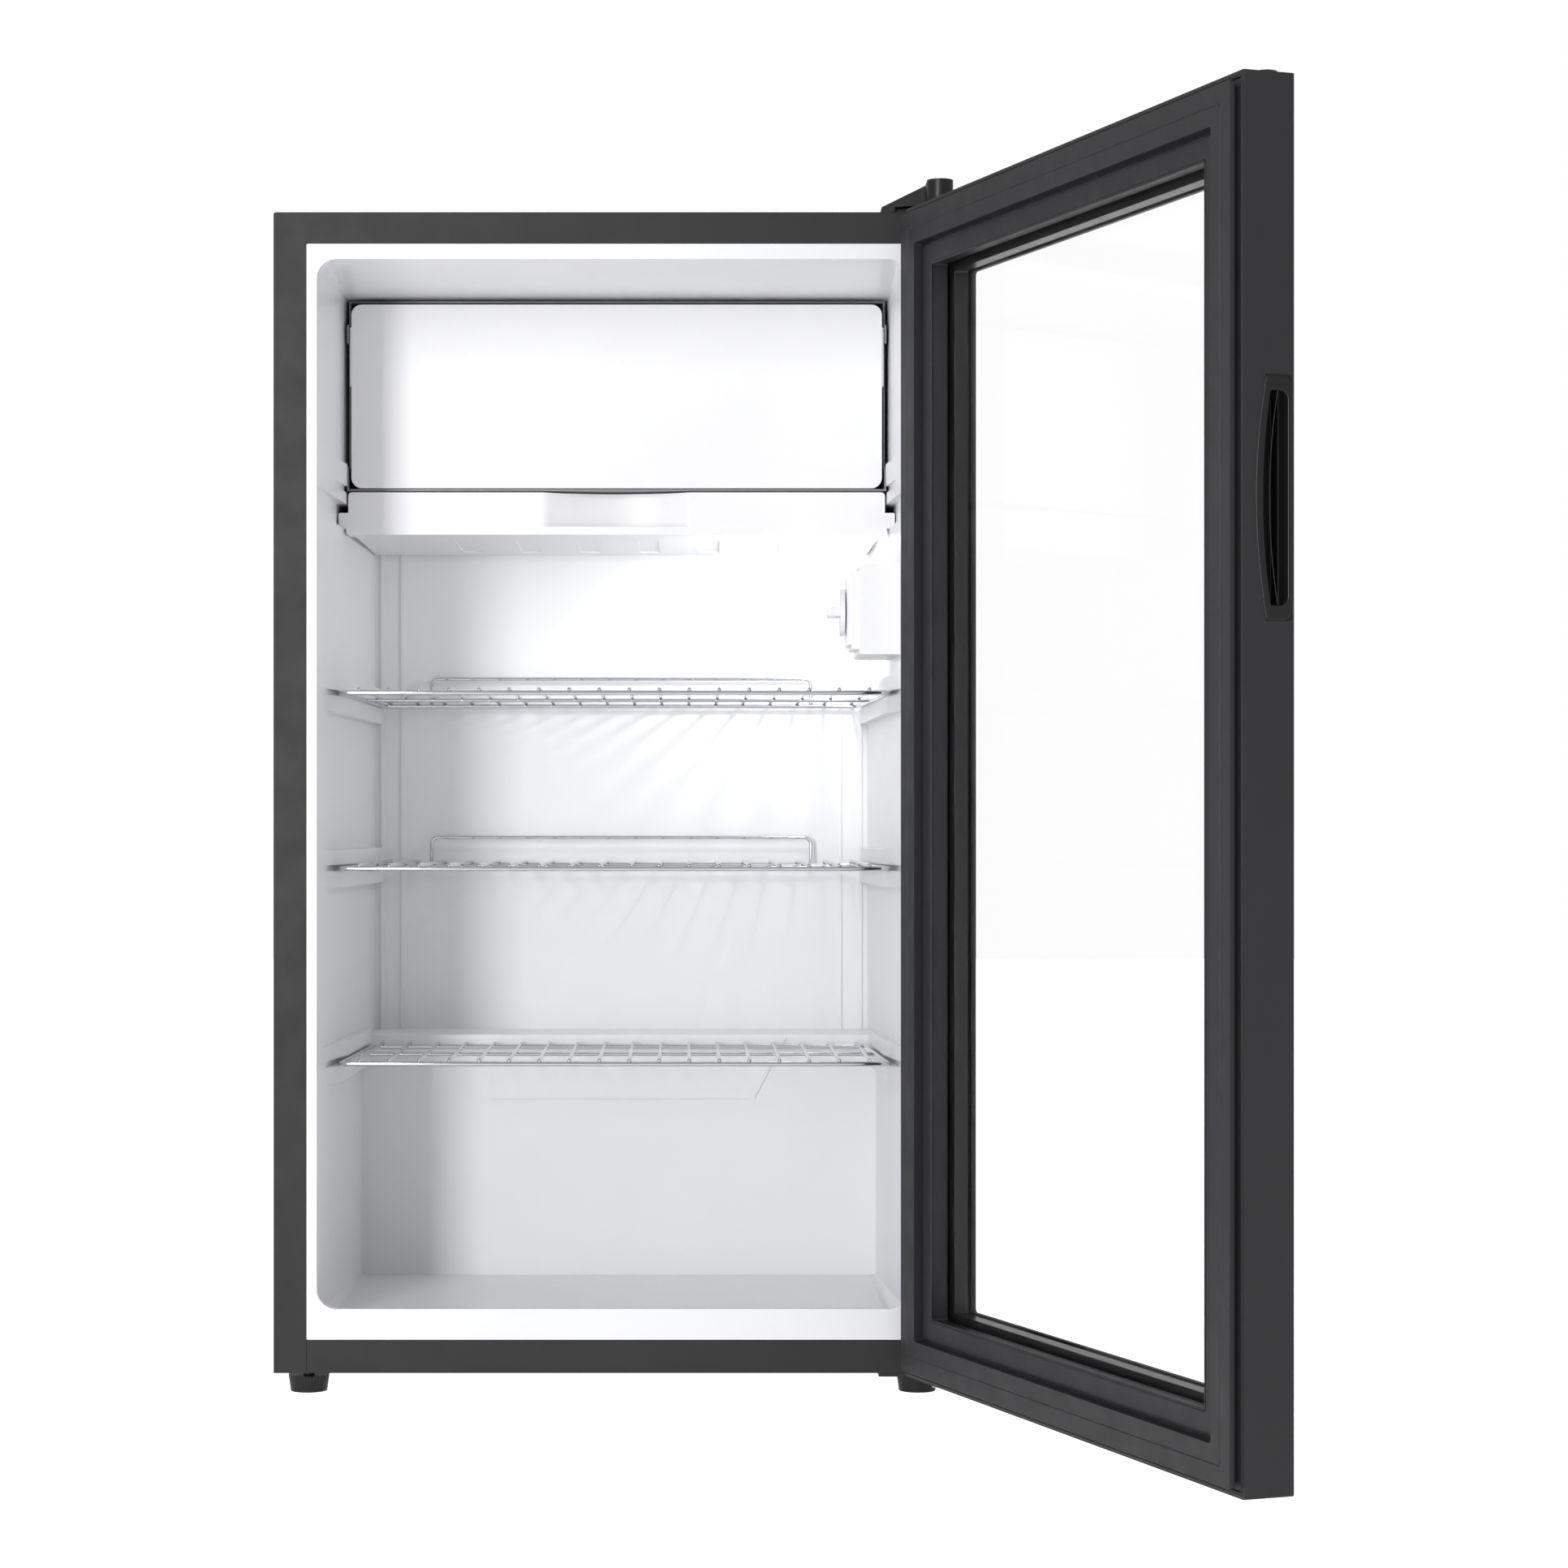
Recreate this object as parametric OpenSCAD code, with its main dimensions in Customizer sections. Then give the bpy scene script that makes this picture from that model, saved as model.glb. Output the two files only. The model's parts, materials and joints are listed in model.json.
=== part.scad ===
// Compact beverage refrigerator with a glass door, drawn with the door open.
// X is the width (hinges on +X), Y the depth (door on -Y), Z is up from the floor.

/* [Cabinet] */
// outside width of the cabinet
cab_w = 480; // [420:1:600]
// outside height of the cabinet without its feet
cab_h = 822; // [680:1:1000]
// outside depth of the cabinet without its door
cab_d = 405; // [370:1:500]
// height of the feet under the cabinet
foot_h = 15; // [12:0.5:22]
// thickness of the folded steel sheets
sheet = 0.8; // [0.5:0.1:1.2]
// width of the steel border beside the opening
stile_w = 23.3; // [18:0.1:30]
// height of the steel border above the opening
rail_top = 22.3; // [18:0.1:30]
// height of the steel strip under the opening
rail_low = 23.6; // [18:0.1:30]

/* [Liner] */
// thickness of the plastic liner
liner_t = 2; // [1.5:0.1:3]
// width of the liner's border that shows at the front
liner_lip = 7.2; // [5:0.1:12]
// corner radius of the liner's opening
liner_r = 14; // [8:0.5:25]
// insulation between the liner's rear wall and the back of the cabinet
back_wall = 55; // [35:1:80]
// depth of the machine space at the lower rear, with its insulation
hump_d = 135; // [125:1:160]
// height of the machine space hump above the floor
hump_top = 238.5; // [225:0.5:260]
// how far each side wall leans in from the front to the back
wall_lean = 10.4; // [6:0.2:16]
// how far the ceiling drops from the front to the freezer door
top_drop = 3.9; // [2:0.1:8]

/* [Door] */
// thickness of the door without its seal
door_t = 32.3; // [28:0.1:40]
// gap between the closed door and the cabinet, filled by the seal
door_gap = 7.2; // [6:0.1:12]
// how far the door is drawn open, in degrees
door_open = 110.1; // [0:0.1:130]
// hinge axis from the door's hinge edge
pin_edge = 10.3; // [9:0.1:14]
// hinge axis from the door's inner face
pin_face = 21.5; // [17:0.1:24]
// width of the door's outer frame
frame_w = 50; // [44:0.5:60]
// thickness of each glass pane
glass_t = 3.2; // [3:0.1:5]
// width of the magnetic seal
seal_w = 22.5; // [18:0.5:25]
// radius of the hinge pins
pin_r = 3; // [2.5:0.1:4]

/* [Freezer] */
// depth of the freezer door and drip tray behind the cabinet's front
flap_d = 150; // [120:1:180]
// height of the freezer door
flap_h = 138; // [110:1:160]
// thickness of the freezer door
flap_t = 13; // [12:0.5:18]
// height of the drip tray
tray_h = 31.8; // [26:0.1:40]

/* [Shelves] */
// spacing of the long shelf wires
wire_pitch = 21.8; // [15:0.1:30]
// number of long wires on a shelf
wire_n = 18; // [12:1:24]
// radius of the long wires
wire_r = 1.4; // [1.2:0.1:2]
// radius of the cross wires that carry them
cross_r = 1.75; // [1.6:0.05:3]
// setback of the shelves behind the cabinet's front
shelf_d = 62; // [50:1:90]
// height of the fence at the back of the upper shelves
fence_h = 22; // [10:1:30]

/* [Hidden] */
$fn = 48;
e = 0.01;
hw = cab_w / 2;
z0 = foot_h;
zt = foot_h + cab_h;
yf = -cab_d / 2;
yr = cab_d / 2;
// inside of the liner
lw = hw - stile_w - liner_lip;
lin_top = zt - rail_top - liner_lip * 1.5;
lin_sill = z0 + 45.4;
lin_bot = z0 + 35;
y_back = yr - back_wall;
y_hump = yr - hump_d;
// half width of the space inside the liner at a depth
function wall_at(y) = lw - wall_lean * (y - yf) / (y_back - yf);
// machine space behind the hump
foam_hump = 20;
y_bay = y_hump + liner_t + foam_hump;
z_bay = hump_top - liner_t - foam_hump;
bay_w = hw - 32;
// hinge axis
hx = hw - pin_edge;
hy = yf - door_gap - pin_face;
// door, as if closed
dx0 = -hw + 2;
dx1 = hw;
dz0 = z0 + 2.2;
dz1 = zt - 2.8;
dy1 = yf - door_gap;
dy0 = dy1 - door_t;
seal_in = 5.8;
pane_in = frame_w + 2;
// freezer parts
y_flap = yf + flap_d;
ceil_z = lin_top - top_drop;
flap_w = 2 * (wall_at(y_flap) - 5.7);
flap_z1 = ceil_z - 5.6;
flap_z0 = flap_z1 - flap_h;
flap_px = flap_z1 - 22;
flap_py = y_flap + 7;
evap_t = 1.6;
evap_z0 = flap_z0 - 2.1;
evap_z1 = ceil_z - 1;
tray_z1 = flap_z0 - 3.1;
tray_z0 = tray_z1 - tray_h;
tray_y1 = y_back - 5;
// channel in the side walls for the tray's edges
chan_z0 = tray_z0 + 4.6;
chan_z1 = tray_z0 + 22.9;
chan_d = 5.2;
// shelves
shelf_w = 2 * (lw - 8.8);
span = tray_z0 - lin_bot;
shelf_z = [lin_bot + 0.786 * span, lin_bot + 0.5626 * span, lin_bot + 0.3146 * span];
y_shelf = yf + shelf_d;
y_shelf_r = y_back - 7;
y_shelf3_r = y_hump - 6;
// control box on the right wall
box_y0 = yf + 60;
box_y1 = yf + 150;
box_x = lw - 31.5;
box_zc = lin_bot + 0.8927 * span;
knob_y = yf + 92;
knob_z = box_zc - 1;
// compressor
comp_z = z0 + 30;
comp_y = (y_bay + yr) / 2 + 3;
comp_x = 40;
// feet
foot_x = hw - 23;
foot_y = yf + 20;
rear_foot_y = yr - 24;

black = [0.09, 0.09, 0.1];
dark = [0.2, 0.2, 0.21];
white = [0.93, 0.93, 0.94];
steel = [0.6, 0.61, 0.63];

// a node name, or all

// ---- helpers ----

// rounded rectangle given by its corners
module rr(x0, z0, x1, z1, r) {
  translate([x0 + r, z0]) square([x1 - x0 - 2 * r, z1 - z0]);
  translate([x0, z0 + r]) square([x1 - x0, z1 - z0 - 2 * r]);
  for (x = [x0 + r, x1 - r]) for (z = [z0 + r, z1 - r]) translate([x, z]) circle(r);
}

// a flat shape in X and Z, extruded from y0 to y1
module along_y(y0, y1) {
  translate([0, y1, 0]) rotate([90, 0, 0]) linear_extrude(y1 - y0) children();
}

// a flat shape in Y and Z, extruded from x0 to x1
module along_x(x0, x1) {
  translate([x0, 0, 0]) rotate([90, 0, 90]) linear_extrude(x1 - x0) children();
}

// a box given by two corners
module box(a, b) {
  translate(a) cube([b[0] - a[0], b[1] - a[1], b[2] - a[2]]);
}

module rod_x(x0, x1, y, z, r) {
  translate([x0, y, z]) rotate([0, 90, 0]) cylinder(r = r, h = x1 - x0);
}

module rod_y(x, y0, y1, z, r) {
  translate([x, y0, z]) rotate([-90, 0, 0]) cylinder(r = r, h = y1 - y0);
}

module rod_z(x, y, z0, z1, r) {
  translate([x, y, z0]) cylinder(r = r, h = z1 - z0);
}

// a level rod between two points
module rod_to(x0, y0, x1, y1, z, r) {
  translate([x0, y0, z]) rotate([0, 0, atan2(x0 - x1, y1 - y0)]) rotate([-90, 0, 0])
    cylinder(r = r, h = norm([x1 - x0, y1 - y0]));
}

// the door's parts are drawn closed and turned about the hinge axis
module swing() {
  translate([hx, hy, 0]) rotate([0, 0, door_open]) translate([-hx, -hy, 0]) children();
}

// pan head screw pointing down from z, shank into the sheet
module pan_screw(r, z, len) {
  translate([0, 0, z]) cylinder(r1 = r * 2, r2 = r * 1.4, h = r * 1.1);
  translate([0, 0, z - len]) cylinder(r = r, h = len + e);
}

// ---- cabinet ----

module wrap_outline(g, r) {
  rr(-hw + g, z0 - 30, hw - g, zt - g, r);
}

// folded steel sheet over both sides and the top, with a border turned in at the front
module outer_wrap() {
  color(dark) difference() {
    along_y(yf, yr - sheet) wrap_outline(0, 1.6);
    along_y(yf + sheet, yr) wrap_outline(sheet, 0.8);
    along_y(yf - 1, yf + sheet + 1)
      rr(-hw + stile_w, z0 - 40, hw - stile_w, zt - rail_top, 0.8);
    box([-hw - 1, yf - 1, z0 - 60], [hw + 1, yr + 1, z0]);
    // holes for the two screws of the upper hinge and the pipe cap on the other side
    for (p = top_screw_xy) rod_z(p[0], p[1], zt - 5, zt + 5, 2.05);
    for (x = [-1, 1]) rod_z(-hw + 25, yf + 18, zt - 5, zt + 5, 4.05);
  }
}

// steel strip that closes the front below the opening
module bottom_rail() {
  color(dark) difference() {
    box([-hw + stile_w + 0.1, yf, z0], [hw - stile_w - 0.1, yf + 26, z0 + rail_low]);
    box([-hw, yf + sheet, z0 - 1], [hw, yf + 40, z0 + rail_low - sheet]);
  }
}

// rear sheet above the machine space
module back_panel() {
  color(dark) difference() {
    along_y(yr - sheet, yr) rr(-hw, z_bay - 20, hw, zt, 1.6);
    box([-hw - 1, yr - 5, z_bay - 40], [hw + 1, yr + 5, z_bay - sheet]);
    for (p = back_screw_xz) rod_y(p[0], yr - 5, yr + 5, p[1], 1.75);
  }
}

// bottom plate that carries the compressor and the feet
module base_pan() {
  color(steel) difference() {
    union() {
      box([-hw + sheet + 0.1, yf + sheet + 0.1, z0], [hw - sheet - 0.1, yr - 1, z0 + sheet]);
      box([-hw + sheet + 0.1, yr - 1 - sheet, z0], [hw - sheet - 0.1, yr - 1, z0 + 12]);
      for (s = [-1, 1]) box([s * (hw - 1.5) - sheet / 2, y_bay + 2, z0],
        [s * (hw - 1.5) + sheet / 2, yr - 1, z0 + 12]);
      // threaded collars of the front feet
      for (s = [-1, 1]) rod_z(s * foot_x, foot_y, z0, z0 + 8, 7);
      // studs under the compressor's rubber mounts
      for (p = grommet_xy) rod_z(p[0], p[1], z0, z0 + 6, 5);
    }
    for (s = [-1, 1]) rod_z(s * foot_x, foot_y, z0 - 1, z0 + 20, 4.05);
    for (p = grommet_xy) rod_z(p[0], p[1], z0 - 1, z0 + 20, 2.55);
    for (s = [-1, 1]) rod_z(s * foot_x, rear_foot_y, z0 - 1, z0 + 20, 2.55);
    for (p = low_screw_xy) rod_z(p[0], p[1], z0 - 1, z0 + 20, 2.05);
    rod_z(-bay_w + 30, yr - 40, z0 - 1, z0 + 20, 6);
  }
}

// folded sheet between the foam and the machine space
module machine_bay_wall() {
  color(steel) difference() {
    union() {
      box([-hw + 1.3, y_bay, z0 + sheet], [hw - 1.3, y_bay + sheet, z_bay]);
      box([-hw + 1.3, y_bay, z_bay - sheet], [hw - 1.3, yr - sheet, z_bay]);
    }
    // passages for the tubes
    rod_z(tube_x, tube_y, z_bay - 5, z_bay + 5, 6.1);
    for (x = [-coil_x, -coil_x - 12]) rod_z(x, coil_y, z_bay - 5, z_bay + 5, 2.6);
  }
}

// rigid foam poured between the sheet metal and the liner
module foam_insulation() {
  color([0.93, 0.87, 0.66]) difference() {
    along_y(yf + 2.4, yr - sheet - 0.15) rr(-hw + sheet + 0.15, z0 + sheet + 0.1,
      hw - sheet - 0.15, zt - sheet - 0.15, 1);
    // the liner, the front strip and the machine space are left free
    liner_outside(0.2);
    box([-hw, yf - 1, z0], [hw, yf + 26.1, z0 + rail_low + 0.05]);
    box([-hw, y_bay - 0.1, z0 - 1], [hw, yr + 1, z_bay + 0.1]);
    // screws, pins and collars that reach into it
    for (s = [-1, 1]) rod_z(s * foot_x, foot_y, z0 - 1, z0 + 26, 7.1);
    for (p = top_screw_xy) rod_z(p[0], p[1], zt - 14, zt + 1, 2.1);
    for (p = low_screw_xy) rod_z(p[0], p[1], z0 - 1, z0 + 12, 2.1);
    for (p = back_screw_xz) rod_y(p[0], yr - 14, yr + 1, p[1], 1.8);
    rod_z(-hw + 25, yf + 18, zt - 8, zt + 1, 4.2);
    for (p = evap_screw_xy) rod_z(p[0], p[1], ceil_z - 1, ceil_z + 14, 1.8);
    for (z = [-22, 22]) rod_x(lw - 5, lw + 12, box_y0 + 45, box_zc + z, 1.8);
    // bore for the tubes that rise to the cold plate
    rod_y(tube_x, y_back - 5, tube_y, lin_top - 20, 6.1);
    translate([tube_x, tube_y, lin_top - 20]) sphere(6.1);
    rod_z(tube_x, tube_y, z_bay - 5, lin_top - 20, 6.1);
    coil_grooves();
  }
}

// grooves in the back of the foam, in which the warm coil lies
module coil_grooves() {
  g = 2.7;
  zl = coil_z + (coil_n - 1) * coil_pitch;
  for (i = [0 : coil_n - 1])
    box([-coil_x - g, coil_y - g, coil_z + i * coil_pitch - g],
      [coil_x + g, yr, coil_z + i * coil_pitch + g]);
  for (i = [0 : coil_n - 2]) {
    x = i % 2 == 0 ? coil_x : -coil_x;
    box([x - g, coil_y - g, coil_z + i * coil_pitch - g],
      [x + g, yr, coil_z + (i + 1) * coil_pitch + g]);
  }
  // way in and way out
  box([-coil_x - g, coil_y - g, z_bay - 1], [-coil_x + g, yr, coil_z + g]);
  box([-coil_x - 12 - g, coil_y - g, z_bay - 1], [-coil_x - 12 + g, yr, zl + g]);
  box([-coil_x - 12 - g, coil_y - g, zl - g], [-coil_x + g, yr, zl + g]);
}

// ---- liner ----

// space inside the liner, grown by g: the walls lean in and the ceiling drops
module liner_space(g) {
  intersection() {
    along_y(yf - 1, y_back + g) rr(-lw - g, lin_bot - g, lw + g, lin_top + g, liner_r + g);
    lean_in(g);
    along_x(-hw, hw) polygon([[yf - 1, z0], [y_back + g, z0], [y_back + g, ceil_z + g],
      [y_flap, ceil_z + g], [yf - 1, lin_top + g]]);
  }
  // channels for the drip tray's edges
  translate([0, 0, chan_z0 - g]) linear_extrude(chan_z1 - chan_z0 + 2 * g) for (s = [-1, 1])
    polygon([[s * 150, yf + 14], [s * (lw + 0.2 + g), yf + 14],
      [s * (wall_at(y_flap) + chan_d + g), y_flap],
      [s * (wall_at(y_back) + chan_d + g), y_back - 1], [s * 150, y_back - 1]]);
}

// a wedge as wide as the space between the liner's walls, grown by g
module lean_in(g) {
  a = wall_at(yf - 1) + g;
  b = wall_at(y_back + g) + g;
  translate([0, 0, z0]) linear_extrude(cab_h)
    polygon([[-a, yf - 1], [a, yf - 1], [b, y_back + g], [-b, y_back + g]]);
}

// the liner's outside, grown by g
module liner_outside(g) {
  difference() {
    union() {
      liner_space(liner_t + g);
      along_y(yf - 1, yf + 2.4) rr(-hw + stile_w + 0.1 - g, z0 + rail_low + 0.1 - g,
        hw - stile_w - 0.1 + g, zt - rail_top - 0.1 + g, 1);
    }
    box([-hw, y_hump + liner_t + g, z0], [hw, yr, hump_top - liner_t - g]);
  }
}

// ledges under a shelf and fins over its sides, growing out of the walls
module shelf_ribs(z, y_end) {
  ya = y_shelf - 22;
  yb = y_shelf + 12;
  for (s = [-1, 1]) {
    translate([0, 0, z - 14]) linear_extrude(14 - cross_r - 0.1) polygon([[s * (lw + 0.5), ya],
      [s * (wall_at(yb) - 8.5), yb], [s * (wall_at(y_end) - 6.5), y_end],
      [s * (lw + 0.5), y_end]]);
    translate([0, 0, z + cross_r + 0.8]) linear_extrude(11) polygon([[s * (lw + 0.5), yf + 16],
      [s * (wall_at(yf + 120) - 7), yf + 120], [s * (wall_at(y_end) - 6), y_end],
      [s * (lw + 0.5), y_end]]);
  }
}

// moulded plastic inner box with the shelf and tray supports
module inner_liner() {
  color(white) difference() {
    union() {
      difference() {
        union() {
          intersection() {
            liner_space(liner_t);
            box([-hw, yf, z0], [hw, yr, zt]);
          }
          along_y(yf, yf + 2.3) rr(-hw + stile_w + 0.1, z0 + rail_low + 0.1,
            hw - stile_w - 0.1, zt - rail_top - 0.1, 0.9);
        }
        difference() {
          liner_space(0);
          box([-hw, y_hump, z0], [hw, yr, hump_top]);
        }
        box([-hw, y_hump + liner_t, z0], [hw, yr, hump_top - liner_t]);
      }
      intersection() {
        difference() {
          liner_space(1);
          box([-hw, y_hump + 1, z0], [hw, yr, hump_top - 1]);
        }
        box([-hw, yf, z0], [hw, yr, zt]);
        union() {
          // sill with round corners, and a slope behind it
          along_y(yf, yf + 8) difference() {
            translate([-lw - 2, lin_bot - 2]) square([2 * lw + 4, lin_sill + 24 - lin_bot]);
            rr(-lw, lin_sill, lw, lin_sill + 100, liner_r);
          }
          along_x(-lw - 2, lw + 2) polygon([[yf + 7, lin_bot - 2], [yf + 7, lin_sill],
            [yf + 8, lin_sill], [yf + 36, lin_bot], [yf + 36, lin_bot - 2]]);
          shelf_ribs(shelf_z[0], y_back + 0.9);
          shelf_ribs(shelf_z[1], y_back + 0.9);
          shelf_ribs(shelf_z[2], y_hump + 0.9);
          for (s = [-1, 1]) {
            // fins beside the freezer door and over the tray's edges
            translate([0, 0, flap_z0 + 1.1]) linear_extrude(16.5) polygon([[s * (lw + 0.5),
              yf + 58], [s * (wall_at(y_flap) - 3.1), y_flap - 4], [s * (lw + 0.5), y_flap - 4]]);
            translate([0, 0, chan_z1 - e]) linear_extrude(8.5) polygon([[s * (lw + 0.5),
              yf + 18], [s * (wall_at(y_flap) - 2.1), y_flap - 4],
              [s * (wall_at(y_flap) - 2.1), y_flap + 12], [s * (lw + 0.5), y_flap + 12]]);
          }
          // upright ridges on the rear wall
          for (s = [-1, 1]) for (x = [lw - 16.5, lw - 33])
            box([s * x - 1.6, y_back - 1.5, hump_top - 2], [s * x + 1.6, y_back + 0.9,
              ceil_z - 30]);
          // raised field on the front of the hump
          along_y(y_hump - 1.6, y_hump + 0.9) polygon([[-131, hump_top - 2], [-106, hump_top - 50],
            [106, hump_top - 50], [131, hump_top - 2]]);
        }
      }
    }
    // holes for the tubes and the screws
    rod_y(tube_x, y_back - 5, y_back + 5, lin_top - 20, 6.1);
    for (p = evap_screw_xy) rod_z(p[0], p[1], ceil_z - 5, ceil_z + 14, 1.8);
    for (z = [-22, 22]) rod_x(lw - 8, lw + 12, box_y0 + 45, box_zc + z, 1.8);
  }
}

tube_x = -34;
tube_y = y_back + 16;
coil_x = hw - 70;
coil_y = yr - sheet - 2.5;

// ---- cooling circuit ----

coil_n = 6;
coil_z = z_bay + 60;
coil_pitch = (zt - 70 - coil_z) / (coil_n - 1) * 0.72;
module coil() {
  r = 2.4;
  for (i = [0 : coil_n - 1]) rod_x(-coil_x, coil_x, coil_y, coil_z + i * coil_pitch, r);
  for (i = [0 : coil_n - 2]) {
    s = i % 2 == 0 ? 1 : -1;
    rod_z(s * coil_x, coil_y, coil_z + i * coil_pitch, coil_z + (i + 1) * coil_pitch, r);
    for (k = [0, 1]) translate([s * coil_x, coil_y, coil_z + (i + k) * coil_pitch]) sphere(r);
  }
  // way in and way out, both down through the machine space's ceiling
  zl = coil_z + (coil_n - 1) * coil_pitch;
  translate([-coil_x, coil_y, coil_z]) sphere(r);
  rod_z(-coil_x, coil_y, z_bay + 1, coil_z, r);
  rod_x(-coil_x - 12, -coil_x, coil_y, zl, r);
  translate([-coil_x - 12, coil_y, zl]) sphere(r);
  rod_z(-coil_x - 12, coil_y, z_bay + 1, zl, r);
}

// warm tube fixed behind the back panel, inside the foam
module condenser_coil() {
  color([0.72, 0.45, 0.3]) coil();
}

evap_screw_xy = [for (x = [-1, 1]) for (y = [y_flap + 50, y_back - 40]) [x * (lw - 60), y]];

// cold plate folded to a box around the freezer space
module evaporator_box() {
  yb = y_back - 8;
  color([0.9, 0.91, 0.92]) difference() {
    union() {
      difference() {
        intersection() {
          along_y(y_flap + 1.5, yb) rr(-lw, evap_z0, lw, evap_z1, 3);
          lean_in(-2.2);
        }
        intersection() {
          along_y(y_flap, y_back) rr(-lw, evap_z0 + evap_t, lw, evap_z1 - evap_t, 2);
          lean_in(-2.2 - evap_t);
        }
        // the sides are set back behind the freezer door, but for a lip and the pin lugs
        box([-hw, yf, evap_z0 + 18], [hw, y_flap + flap_t + 1, flap_px - 7]);
        box([-hw, yf, flap_px + 7], [hw, y_flap + flap_t + 1, zt]);
      }
      // channels pressed into the floor plate
      for (i = [-3 : 3]) rod_y(i * 50, y_flap + 34, y_back - 20, evap_z0 + evap_t, 2.2);
      // spacers that hang the box from the liner
      for (p = evap_screw_xy) rod_z(p[0], p[1], evap_z1 - 0.5, ceil_z, 5);
    }
    for (i = [-3 : 3]) rod_y(i * 50, y_flap + 35, y_back - 21, evap_z0 + evap_t, 1.2);
    box([-hw, yf, evap_z0 - 20], [hw, yr, evap_z0]);
    rod_x(-lw, lw, flap_py, flap_px, 2.06);
    for (p = evap_screw_xy) rod_z(p[0], p[1], ceil_z - 12, ceil_z + 1, 1.8);
  }
}

// screws that hold the cold plate to the liner's ceiling
module evaporator_screws() {
  color(steel) for (p = evap_screw_xy) translate([p[0], p[1], 0]) {
    translate([0, 0, evap_z1 - evap_t - 2]) cylinder(r1 = 2.4, r2 = 3.6, h = 2);
    translate([0, 0, evap_z1 - evap_t - e]) cylinder(r = 1.75, h = 14);
  }
}

// freezer door with a folded edge, hung on two pins near its top
module freezer_flap() {
  w = flap_w / 2;
  color(white) {
    difference() {
      along_y(y_flap, y_flap + flap_t) rr(-w, flap_z0, w, flap_z1, 8);
      along_y(y_flap + 2.5, y_flap + flap_t + 1) rr(-w + 2.5, flap_z0 + 2.5, w - 2.5, flap_z1 - 2.5, 6);
    }
    // stiffening ribs behind the face
    for (i = [-2 : 2]) box([i * 66 - 1, y_flap + 2, flap_z0 + 2], [i * 66 + 1, y_flap + 10,
      flap_z1 - 2]);
    for (s = [-1, 1]) {
      // ears and pins
      box([s * w - 1.3, y_flap + 2, flap_z1 - 61], [s * w + 1.3, y_flap + 12, flap_z1 - 17]);
      rod_x(s > 0 ? w - 6 : -w - 3.4, s > 0 ? w + 3.4 : -w + 6, flap_py, flap_px, 2);
    }
  }
}

// shallow tray whose edges slide in the channels of the liner under the freezer
module drip_tray() {
  w = wall_at(y_flap) + 4;
  b = wall_at(tray_y1) - 1.3;
  ym = y_flap + 22;
  f0 = chan_z0 + 0.1;
  color(white) difference() {
    union() {
      // front with its side flanges
      along_y(y_flap, ym) {
        rr(-w, f0, w, tray_z0 + 16.3, 1.5);
        rr(-w + 6, tray_z0, w - 6, tray_z0 + 9, 2);
        rr(-w + 7.4, tray_z0 + 2, w - 7.4, tray_z1, 3);
      }
      // body and the flanges that slide on the liner
      box([-b, ym - 1, tray_z0], [b, tray_y1, tray_z1 - 4]);
      translate([0, 0, f0]) linear_extrude(2.5) polygon([[-wall_at(ym) - 4, ym - 1],
        [wall_at(ym) + 4, ym - 1], [wall_at(tray_y1) + 4, tray_y1],
        [-wall_at(tray_y1) - 4, tray_y1]]);
    }
    // the hollow that catches the melt water
    box([-b + 2.2, ym + 2, tray_z0 + 2.2], [b - 2.2, tray_y1 - 2.2, tray_z1]);
    // finger scoop
    intersection() {
      translate([0, y_flap - 97, tray_z0 + 6]) cylinder(r = 112, h = tray_h);
      box([-80, y_flap - 1, tray_z0 + 6], [80, ym, tray_z1 + 1]);
    }
    // inside of the front block
    for (s = [-1, 1]) box([s > 0 ? 66 : -w + 10, y_flap + 2.5, tray_z0 + 2.5],
      [s > 0 ? w - 10 : -66, ym - 2.5, tray_z1 + 1]);
    // shallow pockets pressed into the underside
    for (i = [-2.5 : 1 : 2.5]) box([i * 47 - 8, y_flap + 55, tray_z0 - 1], [i * 47 + 8,
      y_flap + 170, tray_z0 + 1]);
  }
}

// ---- controls ----

// housing for the thermostat and lamp on the right wall
module control_housing() {
  zc = box_zc;
  color(white) intersection() {
    union() {
      difference() {
        union() {
          along_y(box_y0, box_y1) rr(box_x, zc - 33, lw, zc + 33, 2);
          // stepped seat of the knob
          box([box_x - 5.5, knob_y - 27, knob_z - 28], [box_x + 1, knob_y + 27, knob_z + 28]);
          box([box_x - 8.6, knob_y - 25, knob_z - 25], [box_x - 5, knob_y + 25, knob_z + 25]);
        }
        along_y(box_y0 + 2, box_y1 - 2) rr(box_x + 2, zc - 31, lw + 5, zc + 31, 1);
        box([box_x - 3.5, knob_y - 24, knob_z - 22], [box_x + 3, knob_y + 24, knob_z + 22]);
        rod_x(box_x - 10, box_x + 5, knob_y, knob_z, 3.05);
        // window for the lamp lens
        box([box_x - 1, box_y1 - 30, zc - 16], [box_x + 3, box_y1 - 8, zc + 16]);
      }
      // bosses for the screws
      for (z = [-22, 22]) difference() {
        rod_x(box_x + 2 - e, lw, box_y0 + 45, zc + z, 3.6);
        rod_x(box_x + 1, lw + 1, box_y0 + 45, zc + z, 1.8);
      }
    }
    lean_in(-0.1);
  }
}

// screws through the housing into the wall
module control_screws() {
  color(steel) for (z = [-22, 22])
    rod_x(box_x + 8, lw + 11, box_y0 + 45, box_zc + z, 1.75);
}

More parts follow.
